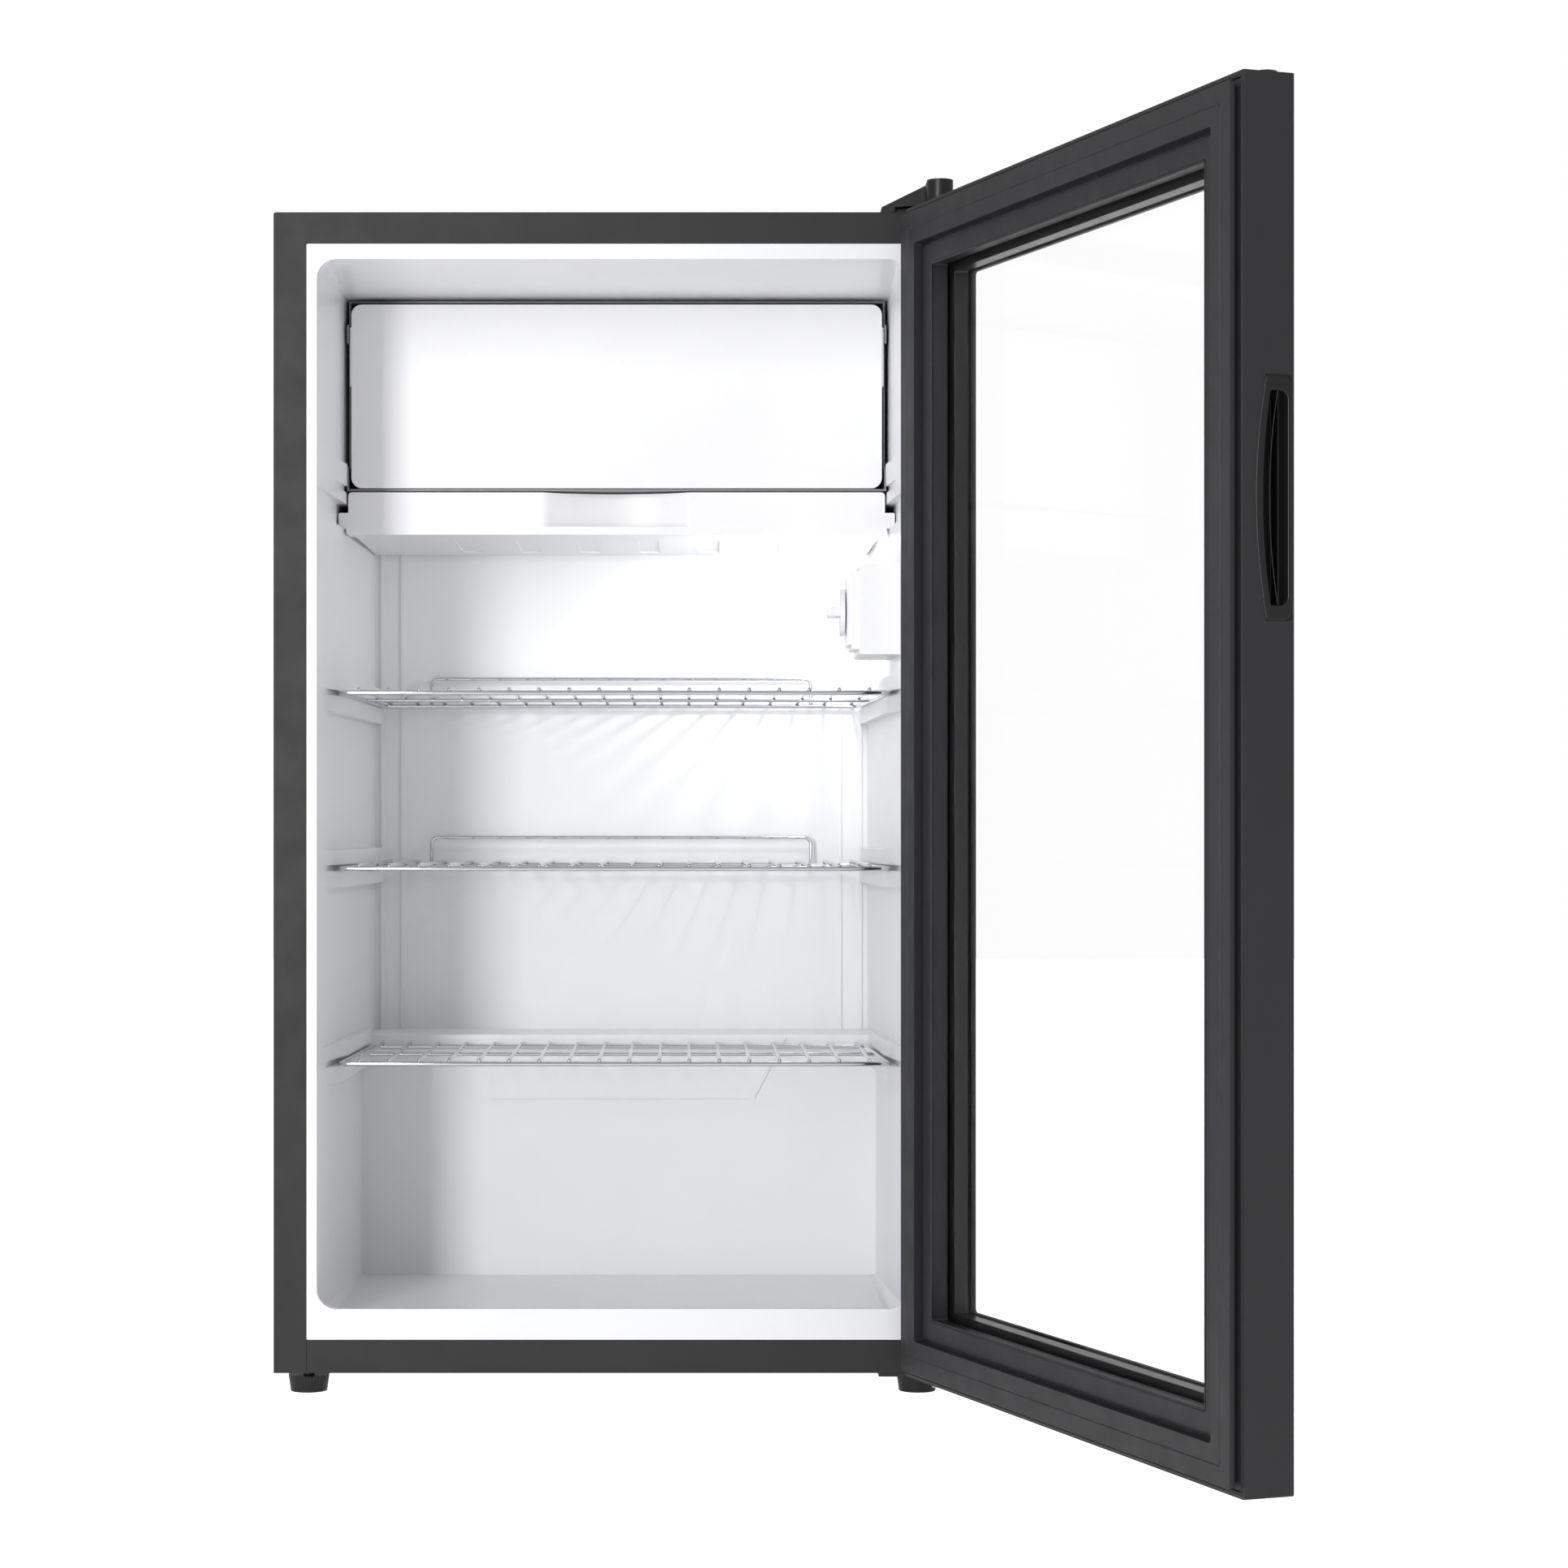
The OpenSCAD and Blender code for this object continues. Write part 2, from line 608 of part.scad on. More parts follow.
// turning knob with a grip bar
module thermostat_knob() {
  x1 = box_x - 9.6;
  color(white) {
    rod_x(x1 - 3.4, x1, knob_y, knob_z, 17.5);
    rod_x(x1 - e, box_x + 12, knob_y, knob_z, 3);
    intersection() {
      box([x1 - 12.6, knob_y - 18, knob_z - 3.3], [x1 - 3, knob_y + 18, knob_z + 3.3]);
      rod_x(x1 - 12.6, x1 - 3, knob_y, knob_z, 16.8);
    }
  }
}

// thermostat behind the knob
module thermostat_body() {
  color(steel) difference() {
    box([box_x + 13, knob_y - 20, knob_z - 14], [lw - 6, knob_y + 8, knob_z + 14]);
    box([box_x + 12, knob_y - 5, knob_z - 5], [box_x + 14, knob_y + 5, knob_z + 5]);
  }
}

// clear lens of the interior lamp
module lamp_lens() {
  color([0.95, 0.96, 0.98, 0.7])
    box([box_x + 0.1, box_y1 - 29.8, box_zc - 15.8], [box_x + 1.9, box_y1 - 8.2, box_zc + 15.8]);
}

// light-emitting diodes on a small board behind the lens
module lamp_board() {
  color([0.9, 0.9, 0.82]) {
    box([box_x + 6, box_y1 - 29, box_zc - 15], [box_x + 7.2, box_y1 - 9, box_zc + 15]);
    for (z = [-9, 0, 9]) box([box_x + 4.6, box_y1 - 22, box_zc + z - 2],
      [box_x + 6 + e, box_y1 - 18, box_zc + z + 2]);
    // pegs to the wall
    for (z = [-12, 12]) rod_x(box_x + 7, wall_at(box_y1 - 18), box_y1 - 20, box_zc + z, 1.5);
  }
}

// ---- shelves ----

// welded wire shelf: a frame and a cross wire under long wires, with a fence if asked for
module wire_shelf(z, y1, fence) {
  w0 = shelf_w / 2;
  ye = y1 - 3;
  w1 = wall_at(y1) - 2.8;
  // the side wires are a little thinner and end inside the front and rear ones
  r = cross_r - 0.15;
  t = 0.54;
  ym = y_shelf + (ye - y_shelf) * t;
  wm = w0 + (w1 - w0) * t - r - 0.1;
  zl = z + cross_r + wire_r - 0.5;
  color([0.93, 0.93, 0.94]) {
    rod_x(-w0, w0, y_shelf, z, cross_r);
    rod_x(-wm, wm, ym, z, r - 0.15);
    rod_x(-w1, w1, ye, z, cross_r);
    for (s = [-1, 1])
      rod_to(s * (w0 - r - 0.1), y_shelf, s * (w1 - r - 0.1), ye, z, r);
    for (i = [0 : wire_n - 1]) {
      x = (i - (wire_n - 1) / 2) * wire_pitch * (cab_w / 480);
      rod_y(x, y_shelf - cross_r, y1, zl, wire_r);
    }
    if (fence) {
      f = w0 - 48;
      rod_x(-f, f, ye, z + fence_h, wire_r);
      for (s = [-1, 1]) rod_z(s * f, ye, z, z + fence_h + wire_r + 0.1, wire_r + 0.1);
    }
  }
}

module upper_shelf() { wire_shelf(shelf_z[0], y_shelf_r, true); }
module middle_shelf() { wire_shelf(shelf_z[1], y_shelf_r, true); }
module lower_shelf() { wire_shelf(shelf_z[2], y_shelf3_r, false); }

// ---- machine space ----

grommet_xy = [for (x = [-1, 1]) for (y = [-1, 1]) [comp_x + x * 66, comp_y + y * 32]];

// welded steel shell on a mounting plate, hollow where the motor hangs
module compressor() {
  color(black) {
    difference() {
      union() {
        translate([comp_x, comp_y, comp_z + 8]) shell(48);
        // weld seam
        rod_z(comp_x, comp_y, comp_z + 58, comp_z + 62, 50);
      }
      translate([comp_x, comp_y, comp_z + 22]) shell_in(33);
    }
    difference() {
      union() {
        box([comp_x - 74, comp_y - 40, comp_z - 8], [comp_x + 74, comp_y + 40, comp_z - 5]);
        rod_z(comp_x, comp_y, comp_z - 6, comp_z + 12, 30);
      }
      for (p = grommet_xy) rod_z(p[0], p[1], comp_z - 20, comp_z + 20, 6.05);
    }
    // stubs for the tubes
    rod_x(comp_x - 60, comp_x - 40, tube_y, comp_z + 60, 4.4);
    rod_x(comp_x - 60, comp_x - 40, comp_y - 14, comp_z + 78, 3.4);
  }
}

module shell(r) {
  rotate_extrude() union() {
    square([r - 18, 108]);
    translate([0, 18]) square([r, 72]);
    translate([r - 18, 18]) circle(18);
    translate([r - 18, 90]) circle(18);
  }
}

module shell_in(r) {
  rotate_extrude() union() {
    square([r - 12, 80]);
    translate([0, 12]) square([r, 56]);
    translate([r - 12, 12]) circle(12);
    translate([r - 12, 68]) circle(12);
  }
}

// rubber mounts under the compressor's plate
module compressor_grommets() {
  color(black) for (p = grommet_xy) translate([p[0], p[1], 0]) difference() {
    union() {
      translate([0, 0, z0 + 6]) cylinder(r1 = 9.5, r2 = 8, h = comp_z - 8 - z0 - 6);
      translate([0, 0, comp_z - 8 - e]) cylinder(r = 6, h = 3 + 2 * e);
      translate([0, 0, comp_z - 5]) cylinder(r = 8, h = 3);
    }
    translate([0, 0, z0]) cylinder(r = 2.6, h = 60);
  }
}

// bolts through the mounts
module compressor_bolts() {
  color(steel) for (p = grommet_xy) translate([p[0], p[1], 0]) {
    translate([0, 0, z0 - 3]) cylinder(r = 4.6, h = 2.95, $fn = 6);
    translate([0, 0, z0 - 3]) cylinder(r = 2.5, h = comp_z + 6 - z0);
    translate([0, 0, comp_z - 2]) cylinder(r = 6.5, h = 1.2);
    translate([0, 0, comp_z - 0.8 - e]) cylinder(r = 4.6, h = 3.6, $fn = 6);
  }
}

// cap over the compressor's terminals and start relay
module compressor_relay_cover() {
  color(black) difference() {
    box([comp_x + 40, comp_y - 19, comp_z + 24], [comp_x + 72, comp_y + 19, comp_z + 56]);
    translate([comp_x, comp_y, comp_z]) cylinder(r = 50.3, h = 100);
    box([comp_x + 52, comp_y - 17, comp_z + 26], [comp_x + 70, comp_y + 17, comp_z + 54]);
  }
}

// copper filter drier on the bay wall
module filter_drier() {
  color([0.75, 0.46, 0.3]) {
    rod_z(drier_x, drier_y, z0 + 70, z0 + 160, 9);
    translate([drier_x, drier_y, z0 + 160 - e]) cylinder(r1 = 9, r2 = 2.6, h = 12);
    translate([drier_x, drier_y, z0 + 58 + e]) cylinder(r1 = 2.6, r2 = 9, h = 12);
    // clip on the bay wall
    difference() {
      box([-124, y_bay + sheet, z0 + 110], [-96, y_bay + 34, z0 + 122]);
      box([-121.5, y_bay + sheet + 2, z0 + 109], [-98.5, y_bay + 36, z0 + 123]);
    }
    box([-122, y_bay + 22, z0 + 112], [-98, y_bay + 26, z0 + 120]);
  }
}

drier_x = -110;
drier_y = y_bay + 24;

// a rounded corner of a tube
module knee(x, y, z, r) {
  translate([x, y, z]) sphere(r);
}

// suction, discharge, liquid and capillary tubes
module refrigerant_tubes() {
  zs = comp_z + 60;
  zd = comp_z + 78;
  zk = z0 + 190;
  zc = z0 + 44;
  color([0.75, 0.46, 0.3]) {
    // suction tube from the cold plate down to the compressor
    rod_y(tube_x, y_back - 7.9, tube_y, lin_top - 20, 3);
    rod_z(tube_x, tube_y, zs, lin_top - 20, 3);
    rod_x(tube_x, comp_x - 60.05, tube_y, zs, 3);
    knee(tube_x, tube_y, lin_top - 20, 3);
    knee(tube_x, tube_y, zs, 3);
    // discharge tube from the compressor to the warm coil
    rod_x(-coil_x, comp_x - 60.05, comp_y - 14, zd, 2.4);
    rod_y(-coil_x, comp_y - 14, coil_y, zd, 2.4);
    rod_z(-coil_x, coil_y, zd, z_bay + 0.95, 2.4);
    knee(-coil_x, comp_y - 14, zd, 2.4);
    knee(-coil_x, coil_y, zd, 2.4);
    // liquid tube from the warm coil to the drier
    rod_z(-coil_x - 12, coil_y, zk, z_bay + 0.95, 2.4);
    rod_y(-coil_x - 12, drier_y, coil_y, zk, 2.4);
    rod_x(-coil_x - 12, drier_x, drier_y, zk, 2.4);
    rod_z(drier_x, drier_y, z0 + 172.1, zk, 2.4);
    knee(-coil_x - 12, coil_y, zk, 2.4);
    knee(-coil_x - 12, drier_y, zk, 2.4);
    knee(drier_x, drier_y, zk, 2.4);
    // capillary from the drier up beside the suction tube
    rod_z(drier_x, drier_y, zc, z0 + 57.9, 1.2);
    rod_y(drier_x, drier_y, tube_y, zc, 1.2);
    rod_x(drier_x, tube_x - 4.5, tube_y, zc, 1.2);
    rod_z(tube_x - 4.5, tube_y, zc, lin_top - 20, 1.2);
    rod_y(tube_x - 4.5, y_back - 7.9, tube_y, lin_top - 20, 1.2);
    knee(drier_x, drier_y, zc, 1.2);
    knee(drier_x, tube_y, zc, 1.2);
    knee(tube_x - 4.5, tube_y, zc, 1.2);
    knee(tube_x - 4.5, tube_y, lin_top - 20, 1.2);
  }
}

// grommet where the supply lead would enter
module cord_grommet() {
  color(black) difference() {
    union() {
      rod_z(-bay_w + 30, yr - 40, z0 - 2.5, z0 - 0.05, 9);
      rod_z(-bay_w + 30, yr - 40, z0 - 1, z0 + sheet + 0.05, 5.9);
      rod_z(-bay_w + 30, yr - 40, z0 + sheet + 0.05, z0 + sheet + 2.5, 9);
    }
    rod_z(-bay_w + 30, yr - 40, z0 - 5, z0 + 10, 3.6);
  }
}

back_screw_xz = [for (x = [-1, 1]) for (k = [0.04, 0.5, 0.965])
  [x * (hw - 9), z_bay + k * (zt - z_bay)]];

// screws around the back panel
module back_panel_screws() {
  color(steel) for (p = back_screw_xz) translate([p[0], yr, p[1]]) rotate([-90, 0, 0]) {
    cylinder(r1 = 3.6, r2 = 2.4, h = 2);
    translate([0, 0, -13]) cylinder(r = 1.7, h = 13 + e);
  }
}

// ---- hinges ----

top_screw_xy = [[hx - 27, yf + 16], [hx - 27, yf + 44], [hx - 2, yf + 44]];
low_screw_xy = [[hx - 34, yf + 46], [hx - 12, yf + 46]];

// flat arm shape around the hinge axis
module arm(x0, y1, r) {
  translate([hx, hy]) circle(r);
  translate([hx - r, hy]) square([2 * r, y1 - hy - 3]);
  translate([x0, yf + 3]) square([hx + r - x0, y1 - yf - 3]);
  translate([x0 + 3, y1 - 1]) square([hx + r - x0 - 6, 1]);
  translate([hx - r - 12, yf + 3]) square([13, 4]);
}

// steel arm on the cabinet's top
module top_hinge_bracket() {
  color(dark) difference() {
    translate([0, 0, zt]) linear_extrude(3) arm(hx - 37, yf + 56, 8);
    rod_z(hx, hy, zt - 1, zt + 10, pin_r + 0.02);
    for (p = top_screw_xy) rod_z(p[0], p[1], zt - 1, zt + 10, 2.05);
  }
}

// screws of the upper arm
module top_hinge_screws() {
  color(steel) for (p = top_screw_xy) translate([p[0], p[1], 0]) pan_screw(2, zt + 3, 15);
}

// pin of the upper hinge
module top_hinge_pin() {
  color(steel) {
    rod_z(hx, hy, dz1 - 16, zt + 3 + e, pin_r);
    rod_z(hx, hy, zt + 3, zt + 5, pin_r + 2.5);
  }
}

// plastic cap over the upper arm: a tall round end on the axis and a slope to the side
module top_hinge_cover() {
  color(black) difference() {
    union() {
      rod_z(hx, hy, zt + 3.2, zt + 17, 9.2);
      intersection() {
        translate([0, 0, zt]) linear_extrude(17) cover_outline(0);
        along_y(hy - 20, yf + 80) polygon([[hx - 42, zt], [hx + 9.3, zt], [hx + 9.3, zt + 17],
          [hx - 8, zt + 17], [hx - 40, zt + 3.5]]);
      }
    }
    // hollow over the arm, its screws and the pin
    intersection() {
      translate([0, 0, zt - 1]) linear_extrude(16) cover_outline(1.6);
      along_y(hy - 20, yf + 80) polygon([[hx - 42, zt - 1], [hx + 9, zt - 1], [hx + 9, zt + 15.2],
        [hx - 8.6, zt + 15.2], [hx - 37, zt + 3.2]]);
    }
    rod_z(hx, hy, zt, zt + 15.2, 7.6);
    translate([0, 0, zt - 1]) linear_extrude(4.2) arm(hx - 37.2, yf + 56.2, 8.2);
    box([hx - 30, hy - 12, zt - 1], [hx + 12, yf - 0.1, zt + 3.2]);
  }
}

module cover_outline(g) {
  translate([hx, hy]) circle(9.2 - g);
  translate([hx - 9.2 + g, hy]) square([18.4 - 2 * g, yf + 59 - hy - g]);
  polygon([[hx - 39 + g, yf + 2 + g], [hx - 9 + g, yf - 12 + g], [hx + 8, yf + 2 + g],
    [hx + 8, yf + 59 - g], [hx - 39 + g, yf + 59 - g]]);
}

// steel arm under the cabinet
module bottom_hinge_bracket() {
  color(dark) difference() {
    union() {
      translate([0, 0, z0 - 3]) linear_extrude(3 - 0.05) arm(hx - 41, yf + 60, 8);
      // step that carries the door
      rod_z(hx, hy, z0 - 3, z0 + 0.6, 6.5);
    }
    rod_z(hx, hy, z0 - 5, z0 + 5, pin_r + 0.02);
    rod_z(foot_x, foot_y, z0 - 5, z0 + 5, 4.6);
    for (p = low_screw_xy) rod_z(p[0], p[1], z0 - 5, z0 + 5, 2.05);
  }
}

// screws of the lower arm, heads down
module bottom_hinge_screws() {
  color(steel) for (p = low_screw_xy) translate([p[0], p[1], 0]) {
    translate([0, 0, z0 - 5.2]) cylinder(r1 = 2.8, r2 = 4, h = 2.2);
    translate([0, 0, z0 - 3.01]) cylinder(r = 2, h = 13);
  }
}

// pin of the lower hinge
module bottom_hinge_pin() {
  color(steel) {
    rod_z(hx, hy, z0 - 3 - e, dz0 + 16, pin_r);
    rod_z(hx, hy, z0 - 5, z0 - 3, pin_r + 2.5);
  }
}

// cap in the unused hinge hole on the left of the top
module hinge_hole_cap() {
  color(black) {
    rod_z(-hw + 25, yf + 18, zt, zt + 1, 9.5);
    rod_z(-hw + 25, yf + 18, zt - 7, zt + e, 4);
  }
}

// ---- feet ----

// levelling foot: grooved tapered pad on a threaded stud
module level_foot(x) {
  color(black) translate([x, foot_y, 0]) {
    difference() {
      cylinder(r1 = 13, r2 = 14.6, h = z0 - 3.4);
      for (i = [0 : 19]) rotate([0, 0, i * 18]) translate([14.9, 0, -1]) cylinder(r = 1.1, h = 30);
    }
    translate([0, 0, z0 - 3.4 - e]) cylinder(r = 4, h = 26);
  }
}

module front_foot_left() { level_foot(-foot_x); }
module front_foot_right() { level_foot(foot_x); }

// fixed rubber feet at the back
module rear_feet() {
  color(black) for (s = [-1, 1]) translate([s * foot_x, rear_foot_y, 0]) {
    cylinder(r1 = 11, r2 = 12.5, h = z0);
    translate([0, 0, z0 - e]) cylinder(r = 2.5, h = sheet + 0.1);
    translate([0, 0, z0 + sheet + 0.05]) cylinder(r1 = 4, r2 = 2.8, h = 3);
  }
}

// ---- door, drawn closed and then swung ----

hand_z0 = dz0 + 0.616 * (dz1 - dz0) - 1;
hand_z1 = hand_z0 + 141;
hand_y0 = dy0 + 1.2;
hand_y1 = dy1 - 7.1;

// rounded rectangle with one long side bowed outwards
module bow(y0, z0, y1, z1, r) {
  intersection() {
    rr(y0, z0, y1, z1, 5);
    translate([y1 - r, (z0 + z1) / 2]) circle(r, $fn = 720);
  }
}

// moulded outer frame
module door_frame() {
  f = frame_w;
  color(black) swing() difference() {
    along_y(dy0, dy1) rr(dx0, dz0, dx1, dz1, 1.5);
    // daylight opening
    along_y(dy0 - 1, dy1 + 1) rr(dx0 + f, dz0 + f, dx1 - f, dz1 - f, 3);
    // rebate for the glass unit and the inner frame
    along_y(dy0 + 3, dy1 + 1) rr(dx0 + f - 12, dz0 + f - 12, dx1 - f + 12, dz1 - f + 12, 3);
    // shallow seat under the seal and the inner frame
    along_y(dy1 - 3, dy1 + 1) rr(dx0 + 3.5, dz0 + 3.5, dx1 - 3.5, dz1 - 3.5, 2);
    // pocket of the handle
    along_x(dx0 - 1, dx0 + 21) bow(hand_y0, hand_z0, hand_y1, hand_z1, 358);
    // seats of the hinge bushes, and of the cap at the free end
    rod_z(hx, hy, dz1 - 18, dz1 + 1, 6);
    rod_z(hx, hy, dz0 - 1, dz0 + 18, 6);
    rod_z(dx0 + pin_edge, dy0 + 13, dz1 - 10, dz1 + 1, 4);
  }
}

// inner frame that holds the glass and carries the seal
module door_inner_frame() {
  f = frame_w;
  color([0.13, 0.13, 0.14]) swing() difference() {
    union() {
      // flat under the seal
      along_y(dy1 - 2.9, dy1 - 0.6) rr(dx0 + 3.6, dz0 + 3.6, dx1 - 3.6, dz1 - 3.6, 2);
      // border beside the glass
      along_y(dy1 - 2.9, dy1 + 1) rr(dx0 + 31, dz0 + 31, dx1 - 31, dz1 - 31, 3);
      // wall that presses on the inner pane
      along_y(dy0 + 19.9, dy1 - 1) rr(dx0 + f - 11.9, dz0 + f - 11.9, dx1 - f + 11.9,
        dz1 - f + 11.9, 3);
    }
    along_y(dy0, dy1 + 5) rr(dx0 + f - 6, dz0 + f - 6, dx1 - f + 6, dz1 - f + 6, 2);
    rod_z(hx, hy, dz1 - 18, dz1 + 1, 6.1);
    rod_z(hx, hy, dz0 - 1, dz0 + 18, 6.1);
  }
}

module pane(y, g) {
  f = frame_w;
  along_y(y, y + glass_t) rr(dx0 + f - g, dz0 + f - g, dx1 - f + g, dz1 - f + g, 3.4);
}

// outer pane of the glazing
module outer_glass() {
  color([0.75, 0.8, 0.82, 0.35]) swing() pane(dy0 + 3.1, 11.8);
}

// inner pane of the glazing
module inner_glass() {
  color([0.75, 0.8, 0.82, 0.35]) swing() pane(dy0 + 19.8 - glass_t, 11.8);
}

// bar between the two panes
module glass_spacer() {
  f = frame_w;
  color([0.1, 0.1, 0.1]) swing() difference() {
    along_y(dy0 + 3.15 + glass_t, dy0 + 19.75 - glass_t) rr(dx0 + f - 11.8, dz0 + f - 11.8,
      dx1 - f + 11.8, dz1 - f + 11.8, 3.4);
    along_y(dy0, dy1) rr(dx0 + f - 1, dz0 + f - 1, dx1 - f + 1, dz1 - f + 1, 2);
  }
}

// hollow magnetic seal, a rounded profile run around the door
module door_seal() {
  a = seal_in;
  b = seal_in + seal_w;
  color([0.12, 0.12, 0.12]) swing() difference() {
    union() {
      along_y(dy1 + door_gap - 4.2, dy1 + door_gap - 0.7) rr(dx0 + a, dz0 + a, dx1 - a, dz1 - a, 2);
      along_y(dy1 - 0.55, dy1 + door_gap - 3) rr(dx0 + a + 3, dz0 + a + 3, dx1 - a - 3, dz1 - a - 3, 2);
    }
    along_y(dy1 + door_gap - 4.3, dy1 + door_gap + 1) rr(dx0 + b, dz0 + b, dx1 - b, dz1 - b, 2);
    along_y(dy1 - 1, dy1 + door_gap) rr(dx0 + b + 0, dz0 + b, dx1 - b, dz1 - b, 2);
    // fine line along the middle of the face
    along_y(dy1 + door_gap - 1.2, dy1 + door_gap) difference() {
      rr(dx0 + a + 11, dz0 + a + 11, dx1 - a - 11, dz1 - a - 11, 2);
      rr(dx0 + a + 11.8, dz0 + a + 11.8, dx1 - a - 11.8, dz1 - a - 11.8, 2);
    }
  }
}

// recessed grip set into the free edge
module handle_insert() {
  y0 = hand_y0 + 0.1;
  y1 = hand_y1 - 0.1;
  color(black) swing() difference() {
    along_x(dx0 - 0.6, dx0 + 20.9) bow(y0, hand_z0 + 0.1, y1, hand_z1 - 0.1, 357.9);
    along_x(dx0 - 2, dx0 + 18.5) bow(y0 + 3, hand_z0 + 9, y1 - 5, hand_z1 - 9, 380);
  }
}

// plastic bush that turns on the upper pin
module door_top_bush() {
  color(white) swing() difference() {
    union() {
      rod_z(hx, hy, dz1 - 17.9, dz1 + 0.5, 5.95);
      rod_z(hx, hy, dz1 + 0.02, dz1 + 1, 7.5);
    }
    rod_z(hx, hy, dz1 - 16.5, dz1 + 2, pin_r + 0.06);
  }
}

// plastic bush that turns on the lower pin and carries the door
module door_bottom_bush() {
  color(white) swing() difference() {
    union() {
      rod_z(hx, hy, dz0 - 0.5, dz0 + 17.9, 5.95);
      rod_z(hx, hy, dz0 - 1.4, dz0 - 0.02, 7.5);
    }
    rod_z(hx, hy, dz0 - 3, dz0 + 16.5, pin_r + 0.06);
  }
}

// cap in the spare hinge hole at the free end of the door's top
module door_plug_cap() {
  color(black) swing() {
    translate([dx0 + pin_edge, dy0 + 13, dz1]) cylinder(r1 = 8.4, r2 = 7, h = 1.5);
    rod_z(dx0 + pin_edge, dy0 + 13, dz1 - 9, dz1 + e, 3.95);
  }
}

// ---- what is drawn ----

outer_wrap();
bottom_rail();
back_panel();
base_pan();
machine_bay_wall();
foam_insulation();
inner_liner();
condenser_coil();
evaporator_box();
evaporator_screws();
freezer_flap();
drip_tray();
control_housing();
control_screws();
thermostat_knob();
thermostat_body();
lamp_lens();
lamp_board();
upper_shelf();
middle_shelf();
lower_shelf();
compressor();
compressor_grommets();
compressor_bolts();
compressor_relay_cover();
filter_drier();
refrigerant_tubes();
cord_grommet();
back_panel_screws();
top_hinge_bracket();
top_hinge_screws();
top_hinge_pin();
top_hinge_cover();
bottom_hinge_bracket();
bottom_hinge_screws();
bottom_hinge_pin();
hinge_hole_cap();
front_foot_left();
front_foot_right();
rear_feet();
door_frame();
door_inner_frame();
outer_glass();
inner_glass();
glass_spacer();
door_seal();
handle_insert();
door_top_bush();
door_bottom_bush();
door_plug_cap();
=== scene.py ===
# %% [markdown]
# A compact beverage fridge with a glass door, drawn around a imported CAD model.
# The CAD nodes give every place and size. Most of them are plain solids with knife-sharp edges,
# so this lesson gives each visible one rounded edges, finer shapes and a finish of its own.

# %% Tools and the frame
import json
import math

import bmesh
import bpy
import numpy as np
from mathutils import Matrix, Vector


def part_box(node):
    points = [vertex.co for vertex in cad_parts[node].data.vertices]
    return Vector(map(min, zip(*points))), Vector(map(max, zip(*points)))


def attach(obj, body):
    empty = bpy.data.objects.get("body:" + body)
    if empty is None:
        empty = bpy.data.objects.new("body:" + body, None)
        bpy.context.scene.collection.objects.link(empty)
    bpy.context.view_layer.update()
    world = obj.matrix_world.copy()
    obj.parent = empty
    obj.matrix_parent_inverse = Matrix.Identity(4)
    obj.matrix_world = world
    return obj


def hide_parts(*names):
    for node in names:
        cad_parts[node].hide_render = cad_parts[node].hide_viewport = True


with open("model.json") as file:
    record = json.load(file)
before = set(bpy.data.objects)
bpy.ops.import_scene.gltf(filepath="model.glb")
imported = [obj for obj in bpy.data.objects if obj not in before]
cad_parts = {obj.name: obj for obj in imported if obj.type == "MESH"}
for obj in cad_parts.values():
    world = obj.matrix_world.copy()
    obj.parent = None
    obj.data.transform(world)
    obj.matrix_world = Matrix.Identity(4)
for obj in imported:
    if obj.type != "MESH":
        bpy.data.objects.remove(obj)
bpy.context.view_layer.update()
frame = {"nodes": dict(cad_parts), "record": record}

# %% [markdown]
# The camera looks straight at the cabinet's front. Upright and level edges of the front stay
# parallel in this view, so the camera is level and square to the front, and the object is
# brought into the view by shifting the lens instead of turning the camera.

# %% Camera
CABINET_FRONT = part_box("outer_wrap")[0].y
camera_data = bpy.data.cameras.new("camera")
camera_data.sensor_width = 36
camera_data.lens = 79.27
camera_data.shift_x = 0.0638
camera_data.shift_y = 0.0287
camera = bpy.data.objects.new("camera", camera_data)
camera.location = (0.0506, CABINET_FRONT - 2.4444, 0.4003)
camera.rotation_euler = (math.pi / 2, 0, 0)
bpy.context.scene.collection.objects.link(camera)
bpy.context.scene.camera = camera
print("camera is", round(CABINET_FRONT - camera.location.y, 3), "m before the cabinet")

# %% [markdown]
# The set is a white sweep. Floor and sky glow evenly, so nothing casts a shadow on the ground, as
# on a light table. Both are weaker as light than they look: a sky as bright as it looks would
# wash out the shading of the white plastic. A Light Path node tells the two uses apart, and the
# standard view transform keeps white paper-white.

# %% Sky
MM = 0.001
scene = bpy.context.scene
scene.view_settings.view_transform = "Standard"


def seen_or_lit(tree, seen, lit):
    """A strength that is one value when looked at, also through glass, and another as light."""
    path = tree.nodes.new("ShaderNodeLightPath")
    either = tree.nodes.new("ShaderNodeMath")
    either.operation = "MAXIMUM"
    tree.links.new(path.outputs["Is Camera Ray"], either.inputs[0])
    tree.links.new(path.outputs["Is Transmission Ray"], either.inputs[1])
    choose = tree.nodes.new("ShaderNodeMapRange")
    choose.inputs["To Min"].default_value = lit
    choose.inputs["To Max"].default_value = seen
    tree.links.new(either.outputs["Value"], choose.inputs["Value"])
    return choose.outputs["Result"]


SKY_LIGHT, FLOOR_LIGHT = 0.5, 0.42
world = bpy.data.worlds.new("sky")
scene.world = world
world.use_nodes = True
sky = world.node_tree.nodes["Background"]
sky.inputs["Color"].default_value = (1, 1, 1, 1)
world.node_tree.links.new(seen_or_lit(world.node_tree, 1.0, SKY_LIGHT), sky.inputs["Strength"])
print("sky lights with", SKY_LIGHT, "and the floor with", FLOOR_LIGHT)

